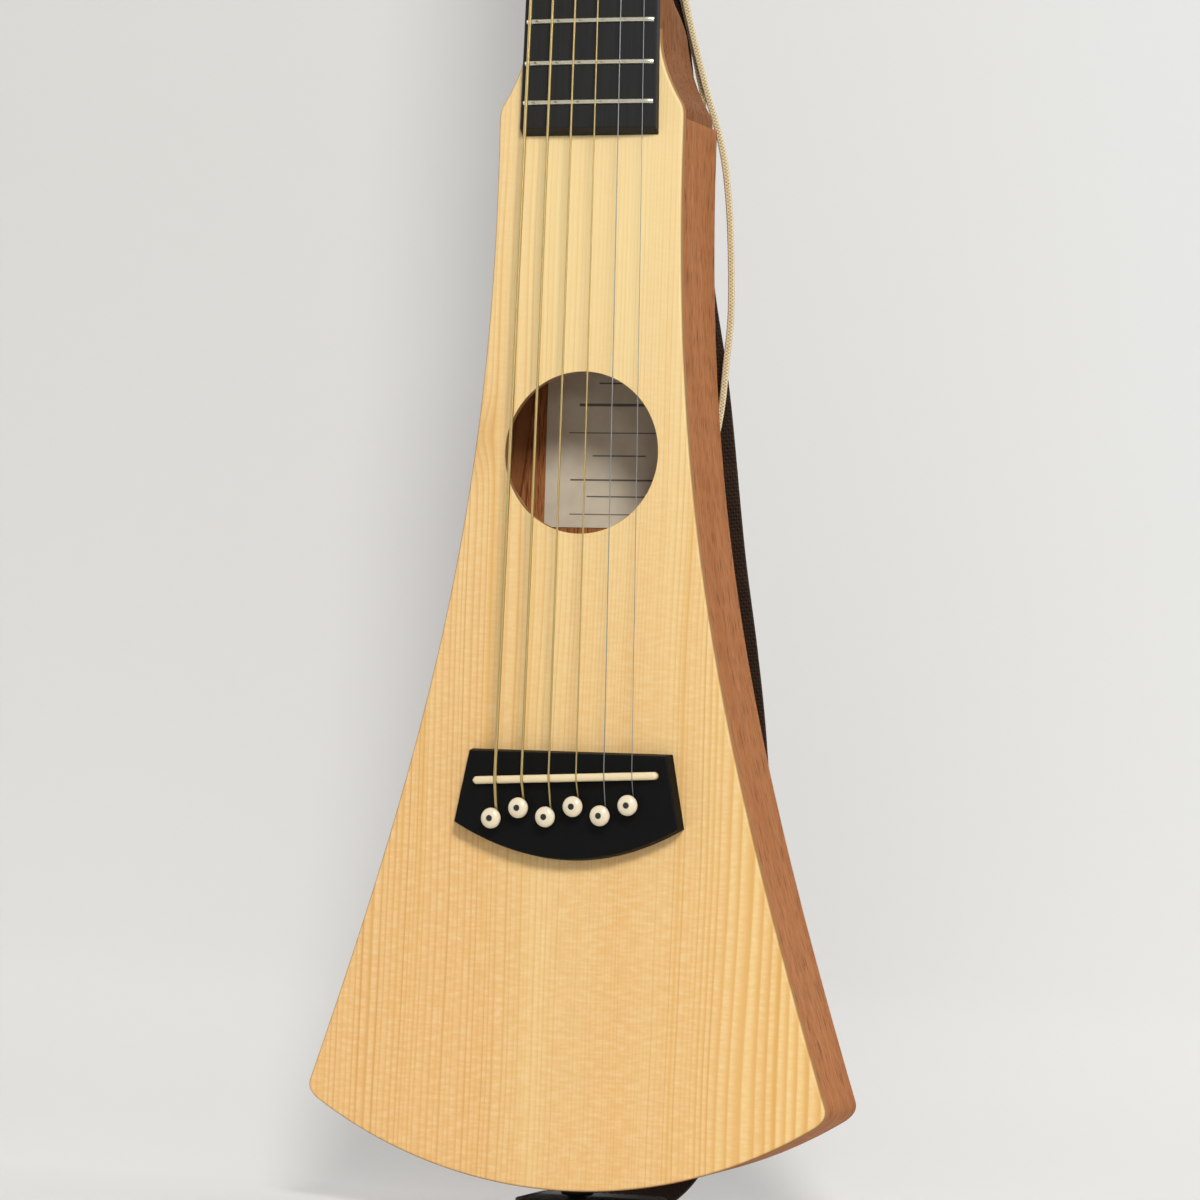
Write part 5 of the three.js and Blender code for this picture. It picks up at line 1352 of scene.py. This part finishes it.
def add_tuners():
    for fact in STRINGS:
        number, side = fact["number"], fact["side"]
        along, across = fact["place"]
        place = HEAD @ Matrix.Translation((side * across, 0, along))
        # Cast housing with a round cap over the gear and an ear with its screw.
        shell = slab(rounded_rectangle(-HOUSING_HALF, HOUSING_HALF, -12.9, 7.8, 3.2), 15.3, 23.8, [], 0.3, 1.6)
        cavity = block((-6.6, 14.3, -11.7), (6.6, 22.4, 6.6))
        points, faces = sided(rod(1.8, 4, 12, 24, "X"), side)
        bore = (points + np.array([0, GEAR_Y, -WORM_OFFSET]), faces)
        body = shape_of(boolean(*shell, [cavity, bore]))
        cap = turned([(0, 23.5), (4.6, 23.5), (4.6, 23.95), (4.2, 24.3), (0, 24.4)], 36)
        ear = rounded_rectangle(-3.2, 3.2, -18.2, -12.0, 3.05)
        ear = slab(ear, 15.3, 17.0, [circle(0, SCREW_Z, 1.3, 20)], 0.2, 0.5)
        points, faces = merged(body, cap, ear)
        add_piece("tuner_case_%d" % number, moved(points, place), faces, "chrome", "tuner_chrome",
                  ["tuner_housing_%d" % number])
        screw = turned([(0, 10.0), (1.2, 10.5), (1.25, 16.6), (2.3, 16.9), (2.2, 17.5), (1.6, 17.9), (0, 18.0)], 28)
        cross = [block((-1.3, 17.3, -0.22), (1.3, 19, 0.22)), block((-0.22, 17.3, -1.3), (0.22, 19, 1.3))]
        points, faces = shape_of(boolean(*screw, cross))
        points = moved(points + np.array([0, 0, SCREW_Z]), place)
        add_piece("tuner_screw_%d" % number, points, faces, "nickel", "tuner_chrome")
        bushing = [(3.25, 1.0), (3.25, -1.3), (3.7, -1.55), (4.6, -1.5), (5.0, -1.1), (5.1, -0.7), (6.3, -0.62),
                   (6.7, -0.35), (6.7, 0.0), (4.0, 0.0), (4.0, 1.0), (3.25, 1.0)]
        points, faces = ring_shape(bushing, 48)
        add_piece("tuner_bushing_%d" % number, moved(points, place), faces, "chrome", "tuner_chrome", smooth=40)
        # The post: a waist under its hole for the turns, its gear wheel inside the housing.
        post = [(0, -10.5), (2.2, -10.5), (2.7, -10.3), (3.0, -9.9), (3.0, -6.6), (2.9, -6.1), (2.85, -2.6),
                (3.0, -2.0), (3.0, 17.25), (0, 17.25)]
        drill = rod(0.95, -6, 6, 20, "X")
        start, turn = post_start(side)
        hole_y = fact["radius"] - TURNS_HEIGHT - HOLE_ABOVE_TURNS
        spin = Matrix.Translation((0, hole_y, 0)) @ Matrix.Rotation(turn * HOLE_ANGLE - start, 4, "Y")
        body = shape_of(boolean(*turned(post, 40), [(moved(drill[0], spin), drill[1])]))
        teeth = []
        for i in range(2 * GEAR_TEETH):
            reach = 6.0 if i % 2 == 0 else 5.2
            for shift in (-0.25, 0.25):
                angle = (i + shift) / GEAR_TEETH * math.pi
                teeth.append((reach * math.cos(angle), reach * math.sin(angle)))
        gear = slab(teeth, GEAR_Y - 1.7, GEAR_Y + 1.7, [], 0.15, 0.15)
        points, faces = merged(body, gear)
        add_piece("tuner_shaft_%d" % number, moved(points, place), faces, "chrome", "tuner_chrome",
                  ["tuner_post_%d" % number], body="tuner_post_%d" % number)
        # The button with its shaft, collar and worm.
        shaft = [(0, -4), (2.0, -4), (2.4, -3.6), (2.4, 3.6), (2.0, 4), (1.5, 4.1), (1.5, 8.1), (2.3, 8.1),
                 (2.6, 8.4), (2.6, 10.2), (2.3, 10.5), (1.5, 10.5), (1.5, 12.5), (0, 12.5)]
        points, faces = merged(sided(turned(shaft, 32, "X"), side), knob(side))
        shift = place @ Matrix.Translation((0, GEAR_Y, -WORM_OFFSET))
        add_piece("tuner_knob_%d" % number, moved(points, shift), faces, "chrome", "tuner_chrome",
                  ["tuner_button_%d" % number], smooth=50, body="tuner_button_%d" % number)


def ring_shape(profile, sides):
    """A turned ring about the y axis from a closed profile of radius and height."""
    rings = []
    for t in np.linspace(0, 2 * math.pi, sides, endpoint=False):
        rings.append([(r * math.cos(t), h, r * math.sin(t)) for r, h in profile[:-1]])
    rings = np.array(rings)
    points, faces, uvs = skin(rings, caps=False)
    size, last = rings.shape[1], (sides - 1) * rings.shape[1]
    for k in range(size):
        faces.append((last + k, last + (k + 1) % size, (k + 1) % size, k))
        uvs += [(0, 0)] * 4
    points, faces, _ = outward(points, faces, uvs)
    return points, faces


add_tuners()
cad("strap_slider", "plastic", bevel=0.5)


# ---------------------------------------------------------------- stage and light
def add_stage():
    """A pale floor that bends up behind the guitar. From behind it can be looked through."""
    s = Shade("sweep")
    x, y, z = s.split(s.place())
    cloud = s.noise(s.place(), 0.004, 2.0)
    # Painted light and shade: the backdrop is coloured darker and warmer to the left and lighter towards the floor, as
    # light falls on it.
    right = s.span(x, -230.0, 210.0)
    low = s.span(z, 0.0, 420.0, 1.0, 0.0)
    color = s.mix(right, (0.77, 0.755, 0.725), (0.81, 0.82, 0.81))
    color = s.mix(low * 0.6, color, (0.81, 0.815, 0.80))
    color = s.mix(s.span(cloud, 0.3, 0.7, 0.0, 0.2), color, (0.79, 0.79, 0.77))
    # Painted shade: the floor and the foot of the bend are coloured darker, against the light that falls on them from
    # above.
    color = s.mix(s.span(z, -12.0, 60.0, 0.6, 0.0), color, (0.70, 0.70, 0.69))
    # Painted light: the floor beyond the bend is coloured lighter near the wall, standing in for the light that the
    # bend throws on the floor in front of it.
    under = s.span(z, -12.3, -12.1, 1.0, 0.0)
    color = s.mix(under * s.span(y, 60.0, 400.0, 0.5, 0.0), color, (0.90, 0.90, 0.89))
    diffuse = s.value("ShaderNodeBsdfDiffuse", {"Color": color})
    glow = s.value("ShaderNodeEmission", {"Color": color, "Strength": 1.0})
    pale = s.value("ShaderNodeMixShader", {0: s.background_rays() * 0.42, 1: diffuse, 2: glow})
    clear = s.value("ShaderNodeBsdfTransparent", {})
    out = s.calc("ABSOLUTE", x) - 100.0
    up = z - 600.0
    front = s.calc("ABSOLUTE", y) - 20.0
    far = s.calc("MAXIMUM", s.calc("MAXIMUM", out, up), front)
    faded = s.calc("MAXIMUM", s.span(far, 300.0, 700.0, smooth=True),
                   s.value("ShaderNodeNewGeometry", {}, "Backfacing"))
    surface = s.value("ShaderNodeMixShader", {0: faded, 1: pale, 2: clear})
    s.node("ShaderNodeOutputMaterial", {"Surface": surface})
    bend, wall_y, floor_z, half_wide = 0.09, 0.15, -0.0119, 1.4
    line = [(-1.6, floor_z), (-0.4, floor_z), (0.0, floor_z)]
    for angle in np.linspace(0, math.pi / 2, 17):
        line.append((wall_y - bend + bend * math.sin(angle), floor_z + bend - bend * math.cos(angle)))
    line += [(wall_y, 0.5), (wall_y, 1.6)]
    points = [(x, y, z) for y, z in line for x in (-half_wide, half_wide)]
    faces = [(2 * i, 2 * i + 1, 2 * i + 3, 2 * i + 2) for i in range(len(line) - 1)]
    # Seen from behind, the floor goes on under the bend.
    points += [(x, y, floor_z - 0.0005) for y in (-0.02, 1.6) for x in (-half_wide, half_wide)]
    faces.append(tuple(len(points) - 4 + corner for corner in (0, 1, 3, 2)))
    mesh = bpy.data.meshes.new("sweep")
    mesh.from_pydata(points, [], faces)
    mesh.polygons.foreach_set("use_smooth", [True] * len(mesh.polygons))
    mesh.materials.append(s.owner)
    sweep = bpy.data.objects.new("sweep", mesh)
    sweep.visible_shadow = False
    bpy.context.scene.collection.objects.link(sweep)


def add_world():
    world = bpy.data.worlds.new("studio")
    bpy.context.scene.world = world
    s = Shade(world)
    x, y, _ = s.split(s.value("ShaderNodeTexCoord", {}, "Generated"))
    color = s.mix(s.span(x, -0.5, 0.5), (0.775, 0.755, 0.720), (0.815, 0.81, 0.785))
    color = s.mix(s.span(y, -0.9, 0.3, 0.45, 0.0, smooth=True), color, (0.42, 0.42, 0.42))
    shown = s.value("ShaderNodeBackground", {"Color": color, "Strength": 1.0})
    lit = s.value("ShaderNodeBackground", {"Color": (0.97, 0.98, 1.0), "Strength": 0.27})
    both = s.value("ShaderNodeMixShader", {0: s.background_rays(), 1: lit, 2: shown})
    s.node("ShaderNodeOutputWorld", {"Surface": both})


def add_light(name, azimuth, elevation, distance, size, power, color=(1, 1, 1)):
    a, e = math.radians(azimuth), math.radians(elevation)
    away = Vector((math.sin(a) * math.cos(e), -math.cos(a) * math.cos(e), math.sin(e)))
    data = bpy.data.lights.new(name, "AREA")
    data.shape, data.size, data.energy, data.color = "DISK", size, power, color
    light = bpy.data.objects.new(name, data)
    light.location = Vector((0, 0, 0.35)) + away * distance
    light.rotation_mode = "QUATERNION"
    light.rotation_quaternion = (-away).to_track_quat("-Z", "Y")
    bpy.context.scene.collection.objects.link(light)


add_stage()
add_world()
add_light("key", 29, 34, 2.6, 0.7, 51, (1.0, 0.99, 0.97))
add_light("front", 24, 8, 2.4, 0.25, 3, (1.0, 0.99, 0.97))
add_light("right", 100, 16, 2.6, 1.2, 8)
add_light("left", -75, 15, 3.0, 1.6, 8)
add_light("back", 195, 35, 3.0, 1.6, 34)
